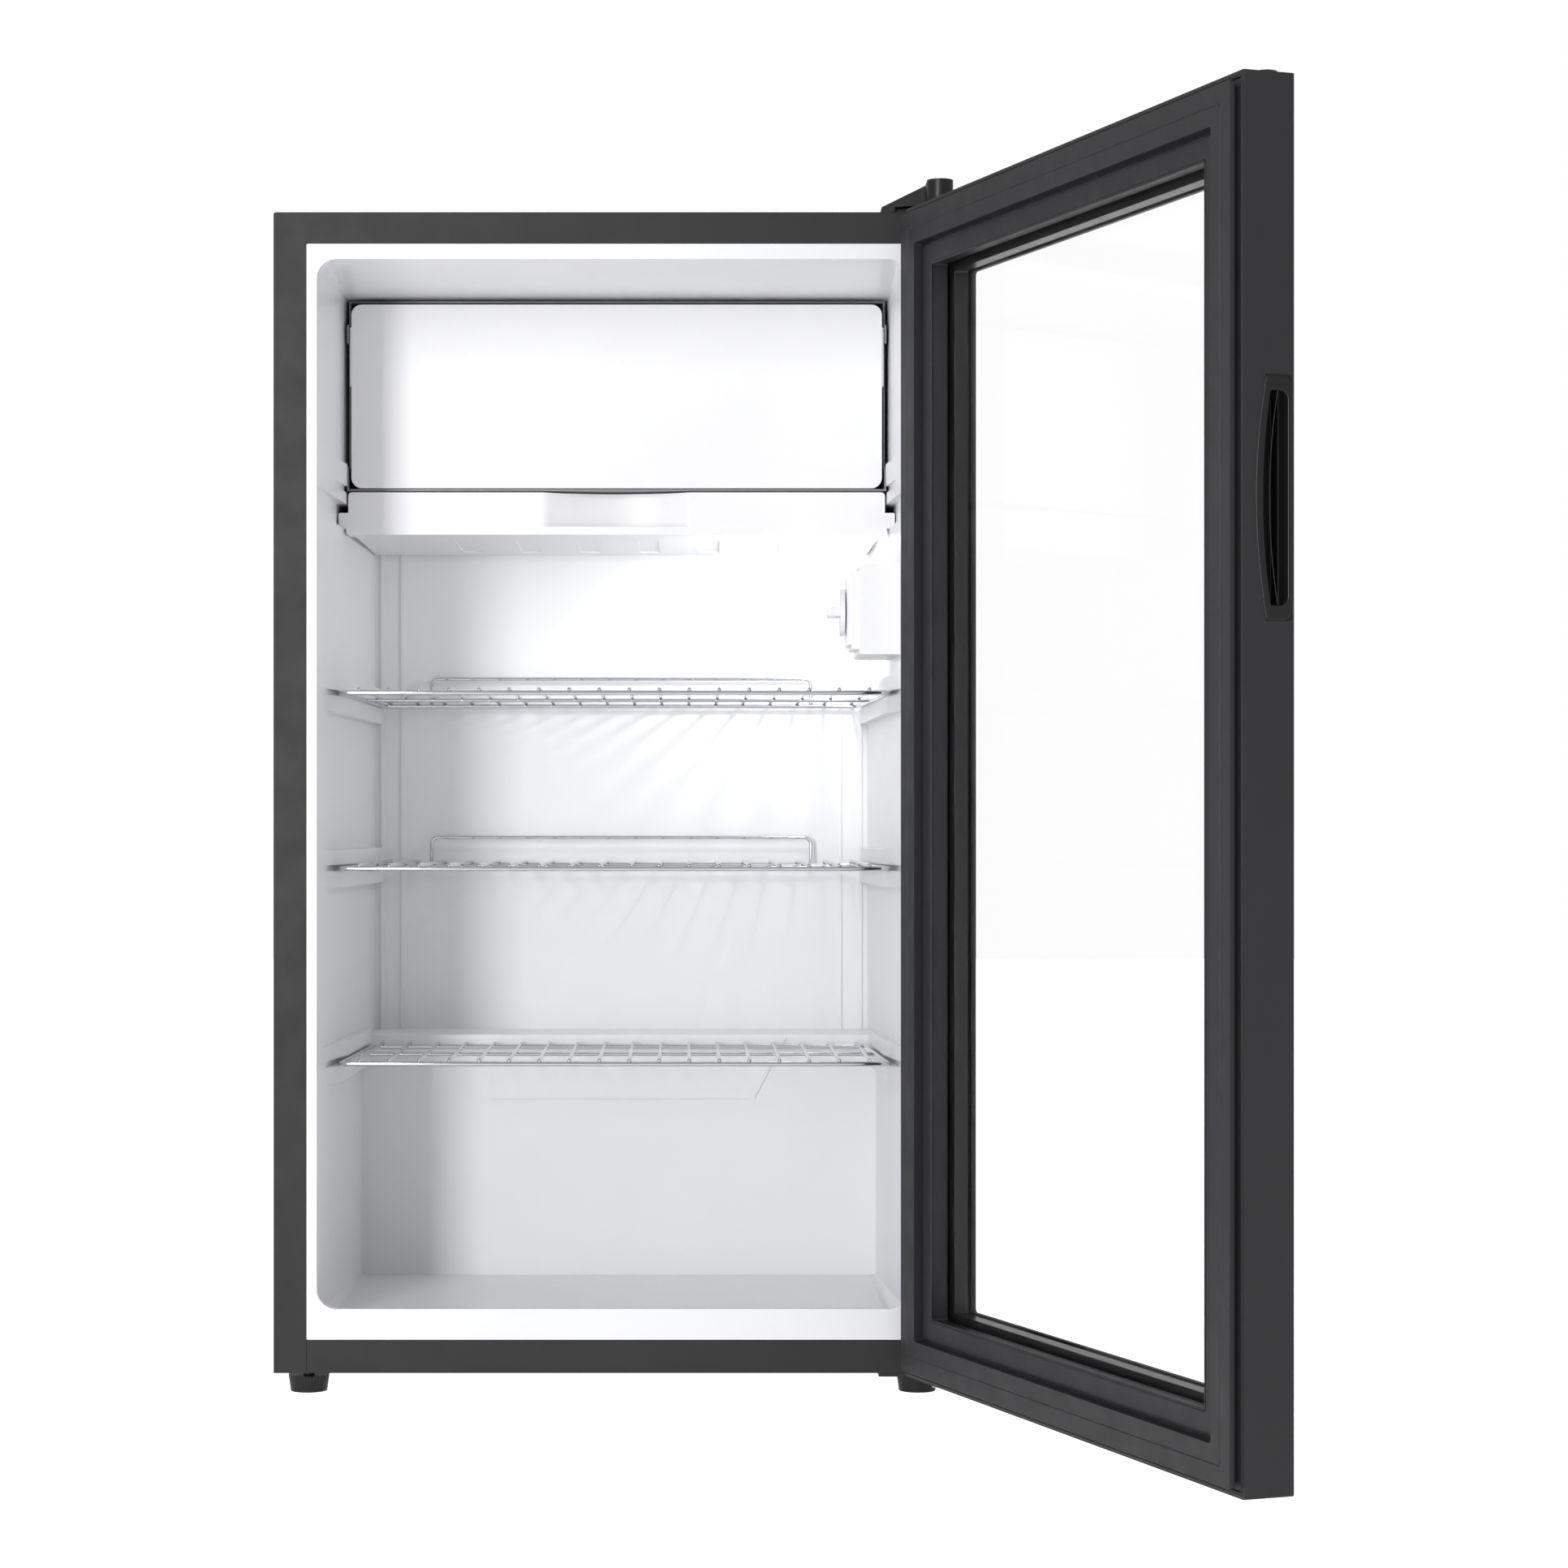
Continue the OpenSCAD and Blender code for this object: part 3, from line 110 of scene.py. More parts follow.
# %% [markdown]
# The floor is one large square at the height of the feet. Its sheen varies a little, as on a
# paper sweep, and its glow follows the same rule as the sky's.

# %% Floor
FLOOR_HALF = 8.0


def sweep_material():
    material = bpy.data.materials.new("floor_sweep")
    material.use_nodes = True
    tree = material.node_tree
    shader = tree.nodes["Principled BSDF"]
    place = tree.nodes.new("ShaderNodeTexCoord")
    cloud = tree.nodes.new("ShaderNodeTexNoise")
    sheen = tree.nodes.new("ShaderNodeMapRange")
    sheen.inputs["To Min"].default_value = 0.8
    sheen.inputs["To Max"].default_value = 0.9
    tree.links.new(place.outputs["Object"], cloud.inputs["Vector"])
    tree.links.new(cloud.outputs["Fac"], sheen.inputs["Value"])
    tree.links.new(sheen.outputs["Result"], shader.inputs["Roughness"])
    tree.links.new(seen_or_lit(tree, 1.0, FLOOR_LIGHT), shader.inputs["Emission Strength"])
    shader.inputs["Base Color"].default_value = (0.9, 0.9, 0.9, 1)
    shader.inputs["Emission Color"].default_value = (1, 1, 1, 1)
    return material


floor_data = bpy.data.meshes.new("floor")
floor_data.from_pydata([(-FLOOR_HALF, -FLOOR_HALF, 0), (FLOOR_HALF, -FLOOR_HALF, 0),
                        (FLOOR_HALF, FLOOR_HALF, 0), (-FLOOR_HALF, FLOOR_HALF, 0)],
                       [], [(0, 1, 2, 3)])
floor_data.materials.append(sweep_material())
floor = bpy.data.objects.new("floor", floor_data)
scene.collection.objects.link(floor)
print("floor is", 2 * FLOOR_HALF, "m wide")

# %% [markdown]
# One tall, narrow lamp from the left throws the soft upright shadow of the cabinet's side wall
# across its rear wall: the narrower the lamp, the crisper that shadow. The fridge's own small
# lamp sits by the end of its housing and brightens the rear wall under the tray.

# %% Lamps


def soft_light(name, place, target, size, power):
    """A rectangular area light, size wide and high, that points from place to target."""
    data = bpy.data.lights.new(name, "AREA")
    data.shape = "RECTANGLE"
    data.size, data.size_y = size
    data.energy = power
    lamp = bpy.data.objects.new(name, data)
    lamp.location = place
    lamp.rotation_euler = (Vector(target) - Vector(place)).to_track_quat("-Z", "Y").to_euler()
    scene.collection.objects.link(lamp)
    print(name, power, "W")


soft_light("key_light", place=(-1.06, -3.1, 0.75), target=(0, 0.05, 0.45), size=(0.45, 2.4),
           power=66)
HOUSING_LOW, HOUSING_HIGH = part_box("control_housing")
soft_light("cabin_lamp", place=(HOUSING_LOW.x - 0.004, HOUSING_HIGH.y + 0.006, 0.585),
           target=(0.08, 0.1475, 0.63), size=(0.02, 0.03), power=0.3)

# %% [markdown]
# A finish is more than a colour. Sprayed paint has a fine orange-peel skin, moulded plastic a
# faint grain, and both shine a little unevenly. One helper builds such a surface from noise on
# Object coordinates, which stay put on the piece when it moves.

# %% Finish helpers


def new_material(name):
    """An empty node material: its tree, its Principled shader and its Object coordinates."""
    material = bpy.data.materials.new(name)
    material.use_nodes = True
    tree = material.node_tree
    shader = tree.nodes["Principled BSDF"]
    place = tree.nodes.new("ShaderNodeTexCoord").outputs["Object"]
    return material, tree, shader, place


def noise(tree, place, scale, detail=3.0, rough=0.55):
    node = tree.nodes.new("ShaderNodeTexNoise")
    node.inputs["Scale"].default_value = scale
    node.inputs["Detail"].default_value = detail
    node.inputs["Roughness"].default_value = rough
    tree.links.new(place, node.inputs["Vector"])
    return node.outputs["Fac"]


def spread(tree, value, low, high):
    """Maps a noise value from its usual 0.3 to 0.7 onto low to high."""
    node = tree.nodes.new("ShaderNodeMapRange")
    node.inputs["From Min"].default_value = 0.3
    node.inputs["From Max"].default_value = 0.7
    node.inputs["To Min"].default_value = low
    node.inputs["To Max"].default_value = high
    tree.links.new(value, node.inputs["Value"])
    return node.outputs["Result"]


def blend_colours(tree, factor, first, second):
    node = tree.nodes.new("ShaderNodeMix")
    node.data_type = "RGBA"
    node.inputs["A"].default_value = (*first, 1)
    node.inputs["B"].default_value = (*second, 1)
    tree.links.new(factor, node.inputs["Factor"])
    return node.outputs["Result"]


# %% [markdown]
# One recipe serves for paint, moulded plastic, rubber and metal, because they differ only in
# numbers. A broad noise varies the colour, a middle one the roughness, and a fine one raises the
# grain that real paint and moulds leave.

# %% A surface with grain


def surface(name, colour, rough, grain=1500.0, bump=0.02, shade=0.06, metallic=0.0, coat=0.0,
            shine=0.5):
    """A painted, moulded or metal surface with grain, and colour and shine that vary a little."""
    material, tree, shader, place = new_material(name)
    broad = noise(tree, place, 9.0, 4.0)
    fine = noise(tree, place, grain, 2.0)
    darker = tuple(c * (1 - shade) for c in colour)
    lighter = tuple(min(1.0, c * (1 + shade)) for c in colour)
    tree.links.new(blend_colours(tree, spread(tree, broad, 0, 1), darker, lighter),
                   shader.inputs["Base Color"])
    tree.links.new(spread(tree, noise(tree, place, 40.0), rough * 0.9, min(1.0, rough * 1.1)),
                   shader.inputs["Roughness"])
    shader.inputs["Metallic"].default_value = metallic
    shader.inputs["Coat Weight"].default_value = coat
    shader.inputs["Specular IOR Level"].default_value = shine
    relief = tree.nodes.new("ShaderNodeBump")
    relief.inputs["Strength"].default_value = 0.35
    relief.inputs["Distance"].default_value = bump * MM
    tree.links.new(fine, relief.inputs["Height"])
    tree.links.new(relief.outputs["Normal"], shader.inputs["Normal"])
    return material


# %% [markdown]
# The finishes of this fridge, each with its colour, roughness, grain and shine. The blacks differ
# by use: sprayed steel, moulded door plastic, soft seal and dull rubber. The whites are satin
# plastic, the shelves are chromed and nearly smooth, and the metals out of sight are dull. The
# evaporator box is dark grey instead of its own white paint, so the gap around the freezer flap
# reads dark: painted shade.

# %% Finishes of this fridge
CABINET_PAINT = surface("cabinet_paint", (0.02, 0.02, 0.0215), 0.5, 700, 0.05, shine=0.3)
HINGE_PAINT = surface("hinge_paint", (0.014, 0.014, 0.016), 0.4, 900, 0.03, shine=0.35)
DOOR_PLASTIC = surface("door_plastic", (0.02, 0.02, 0.022), 0.42, 2200, 0.02, shine=0.35)
INNER_FRAME_PLASTIC = surface("inner_frame_plastic", (0.018, 0.018, 0.02), 0.5, 2200, 0.02,
                              shine=0.35)
BLACK_PLASTIC = surface("black_plastic", (0.009, 0.009, 0.01), 0.36, 1800, 0.02, shine=0.35)
SEAL_RUBBER = surface("seal_rubber", (0.02, 0.02, 0.022), 0.5, 1400, 0.02, shine=0.4)
FOOT_RUBBER = surface("foot_rubber", (0.014, 0.014, 0.014), 0.75, 900, 0.05, shine=0.3)
LINER_PLASTIC = surface("liner_plastic", (0.81, 0.815, 0.83), 0.34, 500, 0.015, 0.01)
WHITE_PLASTIC = surface("white_plastic", (0.83, 0.83, 0.84), 0.38, 1200, 0.015, 0.01)
SHELF_CHROME = surface("shelf_chrome", (0.6, 0.61, 0.63), 0.09, 300, 0.005, 0.02, 1.0)
# Dark grey on the evaporator box paints the shade of the gap around the freezer flap; the box's
# own paint is white.
EVAPORATOR_GAP_SHADE = surface("cold_plate_metal", (0.2, 0.2, 0.21), 0.45, 500, 0.03, 0.05, 0.5)
GALVANISED = surface("galvanised_steel", (0.5, 0.51, 0.53), 0.42, 120, 0.02, 0.16, 1.0)
SCREW_STEEL = surface("screw_steel", (0.55, 0.55, 0.57), 0.28, 900, 0.01, 0.1, 1.0)
COPPER = surface("copper_tube", (0.72, 0.36, 0.2), 0.32, 300, 0.01, 0.18, 1.0)
COMPRESSOR_PAINT = surface("compressor_paint", (0.012, 0.012, 0.013), 0.25, 300, 0.05, 0.1, 0, 0.3)
BOARD = surface("circuit_board", (0.72, 0.7, 0.6), 0.5, 600, 0.02)
FOAM = surface("foam_block", (0.8, 0.68, 0.42), 0.85, 260, 0.3)
print("finishes:", len(bpy.data.materials))

# %% [markdown]
# A clean pane before an even white ground all but vanishes. The panes are solid clear glass with
# a very low index of refraction, far below the 1.5 of real glass: a choice for the looks, which
# keeps a trace of gloss and bending without grey reflections over the window. The lens of the
# cabin lamp is a cloudy plastic that glows faintly.

# %% Glass


def clear_glass(name, tint, rough):
    material, tree, shader, place = new_material(name)
    shader.inputs["Base Color"].default_value = (*tint, 1)
    shader.inputs["Transmission Weight"].default_value = 1.0
    shader.inputs["IOR"].default_value = 1.06
    tree.links.new(spread(tree, noise(tree, place, 25.0), rough * 0.5, rough),
                   shader.inputs["Roughness"])
    return material


PANE_GLASS = clear_glass("pane_glass", (1.0, 1.0, 1.0), 0.004)

material, tree, shader, place = new_material("lamp_lens_plastic")
shader.inputs["Base Color"].default_value = (0.95, 0.96, 1.0, 1)
tree.links.new(spread(tree, noise(tree, place, 300.0), 0.4, 0.5), shader.inputs["Roughness"])
shader.inputs["Emission Color"].default_value = (1.0, 0.98, 0.95, 1)
shader.inputs["Emission Strength"].default_value = 2.0
LENS_PLASTIC = material

# %% [markdown]
# CAD solids arrive as loose triangles. For a rounded copy the corners are merged, flat areas are
# joined into single faces, and a bevel rounds every edge sharper than thirty degrees, so that
# edges catch the light as moulded and pressed edges do.

# %% Rounded copies of CAD nodes
NODE_BODY = {}
for body, nodes in frame["record"]["behaviour"]["bodies"].items():
    for node in nodes:
        NODE_BODY[node] = body


def piece_from(name, mesh, material, body, *stands_for):
    """Links a mesh as a piece that rides on a body and stands for CAD nodes."""
    mesh.materials.clear()
    mesh.materials.append(material)
    piece = bpy.data.objects.new(name, mesh)
    scene.collection.objects.link(piece)
    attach(piece, body)
    if stands_for:
        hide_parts(*stands_for)
    return piece


def rounded(node, material, width, segments=2):
    """A copy of a CAD node with merged corners and rounded edges."""
    mesh = frame["nodes"][node].data.copy()
    work = bmesh.new()
    work.from_mesh(mesh)
    bmesh.ops.remove_doubles(work, verts=work.verts, dist=1e-6)
    bmesh.ops.dissolve_limit(work, angle_limit=math.radians(1), verts=work.verts, edges=work.edges)
    bmesh.ops.recalc_face_normals(work, faces=work.faces)
    work.to_mesh(mesh)
    work.free()
    for polygon in mesh.polygons:
        polygon.use_smooth = True
    piece = piece_from(node + "_rounded", mesh, material, NODE_BODY[node], node)
    bevel = piece.modifiers.new("round_edges", "BEVEL")
    bevel.width = width * MM
    bevel.segments = segments
    bevel.limit_method = "ANGLE"
    bevel.angle_limit = math.radians(30)
    bevel.use_clamp_overlap = True
    bevel.harden_normals = False
    weighted = piece.modifiers.new("even_shading", "WEIGHTED_NORMAL")
    weighted.keep_sharp = False
    return piece


# %% [markdown]
# The shelves are welded from bright wire. Each wire is drawn as a thin path, and one node tree
# turns all paths of a shelf into round wire: it rounds the bends, sweeps a circle along the path
# and closes the ends. Thickness and bend radius are stored on the path's points, so a single tree
# makes the thick frame, the thin long wires with their domed ends, and the fence at the back.

# %% Small helpers for node trees


def socket(tree, label, kind, way="INPUT"):
    return tree.interface.new_socket(label, in_out=way, socket_type="NodeSocket" + kind)


def stored(tree, label):
    node = tree.nodes.new("GeometryNodeInputNamedAttribute")
    node.data_type = "FLOAT"
    node.inputs["Name"].default_value = label
    return node.outputs["Attribute"]


def chain(tree, *nodes):
    """Links the geometry of one node to the next."""
    for first, second in zip(nodes, nodes[1:]):
        tree.links.new(first.outputs[0], second.inputs[0])


# %% [markdown]
# The tree turns edges into a curve, rounds its bends and sweeps a circle along it. Its sizes are
# named inputs, and thickness and bend radius come from the points themselves. It ends in
# Realize Instances and Set Material, so that the result is a plain mesh with its own finish.

# %% Wires that follow paths


def wire_tree():
    tree = bpy.data.node_groups.new("wires_along_paths", "GeometryNodeTree")
    socket(tree, "Paths", "Geometry")
    socket(tree, "Sides", "Int")
    socket(tree, "Bend Steps", "Int")
    socket(tree, "Finish", "Material")
    socket(tree, "Wires", "Geometry", "OUTPUT")
    add = tree.nodes.new
    start, end = add("NodeGroupInput"), add("NodeGroupOutput")
    curve, fillet = add("GeometryNodeMeshToCurve"), add("GeometryNodeFilletCurve")
    circle, sweep = add("GeometryNodeCurvePrimitiveCircle"), add("GeometryNodeCurveToMesh")
    thick, smooth = add("GeometryNodeSetCurveRadius"), add("GeometryNodeSetShadeSmooth")
    real, paint = add("GeometryNodeRealizeInstances"), add("GeometryNodeSetMaterial")
    if hasattr(fillet, "mode"):
        fillet.mode = "POLY"
    else:
        fillet.inputs["Mode"].default_value = "Poly"
    fillet.inputs["Limit Radius"].default_value = True
    circle.inputs["Radius"].default_value = 1.0
    sweep.inputs["Fill Caps"].default_value = True
    tree.links.new(start.outputs["Sides"], circle.inputs["Resolution"])
    tree.links.new(start.outputs["Bend Steps"], fillet.inputs["Count"])
    tree.links.new(stored(tree, "bend"), fillet.inputs["Radius"])
    tree.links.new(stored(tree, "thickness"), thick.inputs["Radius"])
    if "Scale" in sweep.inputs:
        tree.links.new(stored(tree, "thickness"), sweep.inputs["Scale"])
    tree.links.new(circle.outputs["Curve"], sweep.inputs["Profile Curve"])
    tree.links.new(start.outputs["Finish"], paint.inputs["Material"])
    chain(tree, start, curve, fillet, thick, sweep, smooth, real, paint, end)
    return tree


WIRES = wire_tree()
print("nodes in the wire tree:", len(WIRES.nodes))

# %% [markdown]
# A node tree works on an object through a modifier. A short-lived holder object runs it, the
# evaluated result is copied into a mesh, and the holder goes away with its modifier.

# %% Running a tree


def grow(tree, mesh, values):
    """Runs a node tree on a mesh and returns the result as one plain mesh."""
    holder = bpy.data.objects.new(mesh.name, mesh)
    scene.collection.objects.link(holder)
    modifier = holder.modifiers.new("grow", "NODES")
    modifier.node_group = tree
    for item in tree.interface.items_tree:
        if item.in_out == "INPUT" and item.name in values:
            modifier[item.identifier] = values[item.name]
    depsgraph = bpy.context.evaluated_depsgraph_get()
    result = bpy.data.meshes.new_from_object(holder.evaluated_get(depsgraph))
    bpy.data.objects.remove(holder)
    return result


# %% [markdown]
# The long wires of a shelf end in small domes. Where a path is domed, a few points with a
# shrinking radius are added before its end, which the sweep turns into a rounded tip.

# %% Paths with thickness and bends


def path_mesh(name, paths):
    """Paths as loose edges. Each is (points, closed, radius, bend, domed), in millimetres."""
    points, edges, thickness, bends = [], [], [], []
    for corners, closed, radius, bend, domed in paths:
        corners = [Vector(c) for c in corners]
        sizes = [radius] * len(corners)
        if domed:
            ahead = (corners[1] - corners[0]).normalized() * radius
            behind = (corners[-2] - corners[-1]).normalized() * radius
            steps = [(0.0, 0.25), (0.08, 0.5), (0.35, 0.85)]
            head = [corners[0] + ahead * t for t, _ in steps] + [corners[0] + ahead]
            tail = [corners[-1] + behind] + [corners[-1] + behind * t for t, _ in steps[::-1]]
            shrunk = [radius * q for _, q in steps]
            corners = head + corners[1:-1] + tail
            sizes = shrunk + [radius] * (len(corners) - 6) + shrunk[::-1]
        first = len(points)
        points += [c * MM for c in corners]
        thickness += [q * MM for q in sizes]
        bends += [bend * MM] * len(corners)
        edges += [(first + i, first + i + 1) for i in range(len(corners) - 1)]
        if closed:
            edges.append((len(points) - 1, first))
    mesh = bpy.data.meshes.new(name)
    mesh.from_pydata(points, edges, [])
    for label, values in (("thickness", thickness), ("bend", bends)):
        mesh.attributes.new(label, "FLOAT", "POINT").data.foreach_set("value", values)
    return mesh


def wires(name, paths, material, body, *stands_for, sides=14):
    mesh = grow(WIRES, path_mesh(name, paths),
                {"Sides": sides, "Bend Steps": 5, "Finish": material})
    piece = piece_from(name, mesh, material, body, *stands_for)
    print(name, "faces:", len(mesh.polygons))
    return piece


# %% [markdown]
# Every shelf is a frame that narrows towards the back, as the cabin does, with one wire across its
# middle and a row of long wires laid over both. The two upper shelves also carry a low fence at
# the rear, which keeps bottles off the wall.

# %% The three wire shelves
FRAME_WIRE, LONG_WIRE, WIRE_PITCH, WIRE_COUNT = 1.75, 1.4, 21.8, 18
LEAN = 0.0297  # how much narrower the cabin gets on each side, per unit of depth
SIDE_PLAY = 0.5  # a little extra room beside the rear of a shelf
REAR_INSET = 3.0  # the rear frame wire, before the ends of the long wires
SINK = 0.5  # how far the long wires sink into the frame where they are welded
MIDDLE_WIRE = 1.45


def wire_shelf(node, fence):
    low, high = (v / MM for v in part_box(node))
    z = low.z + FRAME_WIRE
    front, rear = low.y + FRAME_WIRE, high.y - REAR_INSET
    wide = high.x - FRAME_WIRE
    narrow = wide - SIDE_PLAY - LEAN * (rear - front)
    along = 0.54  # where the middle wire crosses, as a share of the depth
    middle = front + along * (rear - front)
    half = wide + along * (narrow - wide)
    above = z + FRAME_WIRE + LONG_WIRE - SINK
    paths = [
        ([(-wide, front, z), (wide, front, z), (narrow, rear, z), (-narrow, rear, z)],
         True, FRAME_WIRE, 5, False),
        ([(-half, middle, z), (half, middle, z)], False, MIDDLE_WIRE, 0, False),
    ]
    for i in range(WIRE_COUNT):
        x = (i - (WIRE_COUNT - 1) / 2) * WIRE_PITCH
        paths.append(([(x, low.y, above), (x, high.y, above)], False, LONG_WIRE, 0, True))
    if fence:
        side, top = wide - 46, high.z - LONG_WIRE - 0.1
        paths.append(([(-side, rear, z), (-side, rear, top), (side, rear, top), (side, rear, z)],
                      False, LONG_WIRE, 5.4, False))
    return wires(node + "_wires", paths, SHELF_CHROME, NODE_BODY[node], node)


wire_shelf("upper_shelf", True)
wire_shelf("middle_shelf", True)
wire_shelf("lower_shelf", False)

# %% [markdown]
# Door parts are easier to lay out with the door closed and square to the cabinet. A turn about
# the hinge pin by the rest angle brings them to the open door.

# %% Laying out on the closed door
PIN_LOW, PIN_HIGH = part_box("top_hinge_pin")
HINGE = Vector(((PIN_LOW.x + PIN_HIGH.x) / 2, (PIN_LOW.y + PIN_HIGH.y) / 2, 0)) / MM
HINGE_RANGE = next(j for j in frame["record"]["behaviour"]["joints"] if j["name"] == "door_hinge")
OPEN_ANGLE = -math.radians(HINGE_RANGE["range_deg"][0])
OPENING = (Matrix.Translation(HINGE) @ Matrix.Rotation(OPEN_ANGLE, 4, "Z")
           @ Matrix.Translation(-HINGE))
DOOR_LEFT, DOOR_RIGHT = -238.0, 240.0
DOOR_BOTTOM, DOOR_TOP = 17.2, 834.2
DOOR_INNER = -209.7  # depth of the closed door's inner face


def on_door(x, y, z):
    """A point on the closed door, moved to the open door."""
    return OPENING @ Vector((x, y, z))


def ring(inset, y):
    """The four corners of a rectangle inset from the door's edges, at depth y."""
    left, right = DOOR_LEFT + inset, DOOR_RIGHT - inset
    bottom, top = DOOR_BOTTOM + inset, DOOR_TOP - inset
    return [on_door(*c) for c in ((left, y, bottom), (right, y, bottom), (right, y, top),
                                  (left, y, top))]


print("door opens by", round(math.degrees(OPEN_ANGLE), 1), "degrees about", tuple(HINGE)[:2])

# %% [markdown]
# A fine moulded bead runs round the inner face just inside its edge, and a second one beside the
# glass. Both follow a closed path, so the wire tree makes them too.

# %% Beads on the door's inner face
wires("door_beads", [
    (ring(2.1, DOOR_INNER - 0.1), True, 0.55, 1.5, False),
    (ring(45.2, DOOR_INNER + 0.7), True, 0.5, 2.0, False),
], DOOR_PLASTIC, "door", sides=8)

# %% [markdown]
# Where two mouldings meet there is a fine open joint, and the shade inside it reads as a black
# line. A thin bead of black plastic laid half into the joint paints that shade: beside the seal,
# around the glass, and around the handle's insert, whose inner side bows out in a long arc.

# %% Black beads painting the shade in the door's joints
HAND_Y, HAND_Z = (-240.8, -216.8), (519.5, 660.5)
HAND_RADIUS = 358.0


def bowed_outline(x, inset):
    """The handle insert's outline: a rectangle with its inner side bowed outwards."""
    y0, y1 = HAND_Y[0] + inset, HAND_Y[1] - inset
    z0, z1 = HAND_Z[0] + inset, HAND_Z[1] - inset
    middle, points = (z0 + z1) / 2, [on_door(x, y0, z1), on_door(x, y0, z0)]
    for i in range(17):
        z = z0 + (z1 - z0) * i / 16
        sag = HAND_RADIUS - math.sqrt(HAND_RADIUS ** 2 - (z - middle) ** 2)
        points.append(on_door(x, y1 - sag, z))
    return points


# Black beads standing in for the shade inside the door's open joints: painted shade.
wires("door_joints", [
    (ring(3.55, DOOR_INNER), True, 0.45, 1.5, False),
    (ring(30.6, DOOR_INNER + 0.1), True, 0.8, 2.0, False),
    (ring(44.4, DOOR_INNER + 0.75), True, 0.6, 2.0, False),
    (bowed_outline(DOOR_LEFT - 0.05, 0.0), True, 0.35, 3.0, False),
    (bowed_outline(DOOR_LEFT + 0.1, 9.2), True, 0.3, 3.0, False),
], BLACK_PLASTIC, "door", sides=8)

# %% [markdown]
# The back panel and the hinge arms are held by cross-recessed pan-head screws. One head is turned
# and cut once, and a node tree sets a copy at each place, every one at its own angle, as screws
# end up when they are driven tight. The places are read off the CAD model's plain screws.

# %% One screw


def turned(name, profile, steps=20):
    """A closed solid of revolution about Z from (radius, height) pairs, bottom to top."""
    work = bmesh.new()
    rows = []
    for radius, height in profile:
        rows.append([work.verts.new((radius * math.cos(math.tau * k / steps),
                                     radius * math.sin(math.tau * k / steps), height))
                     for k in range(steps)])
    for lower, upper in zip(rows, rows[1:]):
        for k in range(steps):
            j = (k + 1) % steps
            work.faces.new((lower[k], lower[j], upper[j], upper[k]))
    work.faces.new(rows[0][::-1])
    work.faces.new(rows[-1])
    mesh = bpy.data.meshes.new(name)
    work.to_mesh(mesh)
    work.free()
    return mesh


def screw_mesh():
    """A screw of head radius 1 that faces +Z, with a cross recess cut into its head."""
    body = bpy.data.objects.new("screw_blank", turned("screw_blank", [
        (0.12, -3.5), (0.48, -3.0), (0.5, 0), (1.0, 0.0), (1.0, 0.15), (0.88, 0.36),
        (0.62, 0.5), (0.3, 0.55)]))
    scene.collection.objects.link(body)
    cutters = []
    for long_x, long_y in ((0.62, 0.11), (0.11, 0.62)):
        work = bmesh.new()
        bmesh.ops.create_cube(work, size=2, matrix=Matrix.Translation((0, 0, 0.5))
                              @ Matrix.Diagonal((long_x, long_y, 0.32, 1)))
        mesh = bpy.data.meshes.new("recess")
        work.to_mesh(mesh)
        work.free()
        cutter = bpy.data.objects.new("recess", mesh)
        scene.collection.objects.link(cutter)
        cut = body.modifiers.new("recess", "BOOLEAN")
        cut.operation, cut.object, cut.solver = "DIFFERENCE", cutter, "EXACT"
        cutters.append(cutter)
    result = bpy.data.meshes.new_from_object(
        body.evaluated_get(bpy.context.evaluated_depsgraph_get()))
    for thing in cutters + [body]:
        bpy.data.objects.remove(thing)
    return result


# %% [markdown]
# All screws of a group are one CAD node with several solids. Walking along the edges from corner
# to corner finds each solid in turn, and its box gives the screw's place and head radius.

# %% Where the screws are


def islands(node):
    """The lowest and highest corner of each separate solid of a CAD node, in a fixed order."""
    work = bmesh.new()
    work.from_mesh(frame["nodes"][node].data)
    bmesh.ops.remove_doubles(work, verts=work.verts, dist=1e-6)
    work.verts.ensure_lookup_table()
    seen, found = set(), []
    for start in work.verts:
        if start.index in seen:
            continue
        seen.add(start.index)
        stack, points = [start], []
        while stack:
            vert = stack.pop()
            points.append(tuple(vert.co))
            for edge in vert.link_edges:
                other = edge.other_vert(vert)
                if other.index not in seen:
                    seen.add(other.index)
                    stack.append(other)
        found.append((Vector(np.min(points, axis=0)), Vector(np.max(points, axis=0))))
    work.free()
    return found


# %% [markdown]
# The second tree sets a copy of one object at every point, turned to face one way, and spins each
# about its own axis by a random angle with a fixed seed.

# %% Copies at points


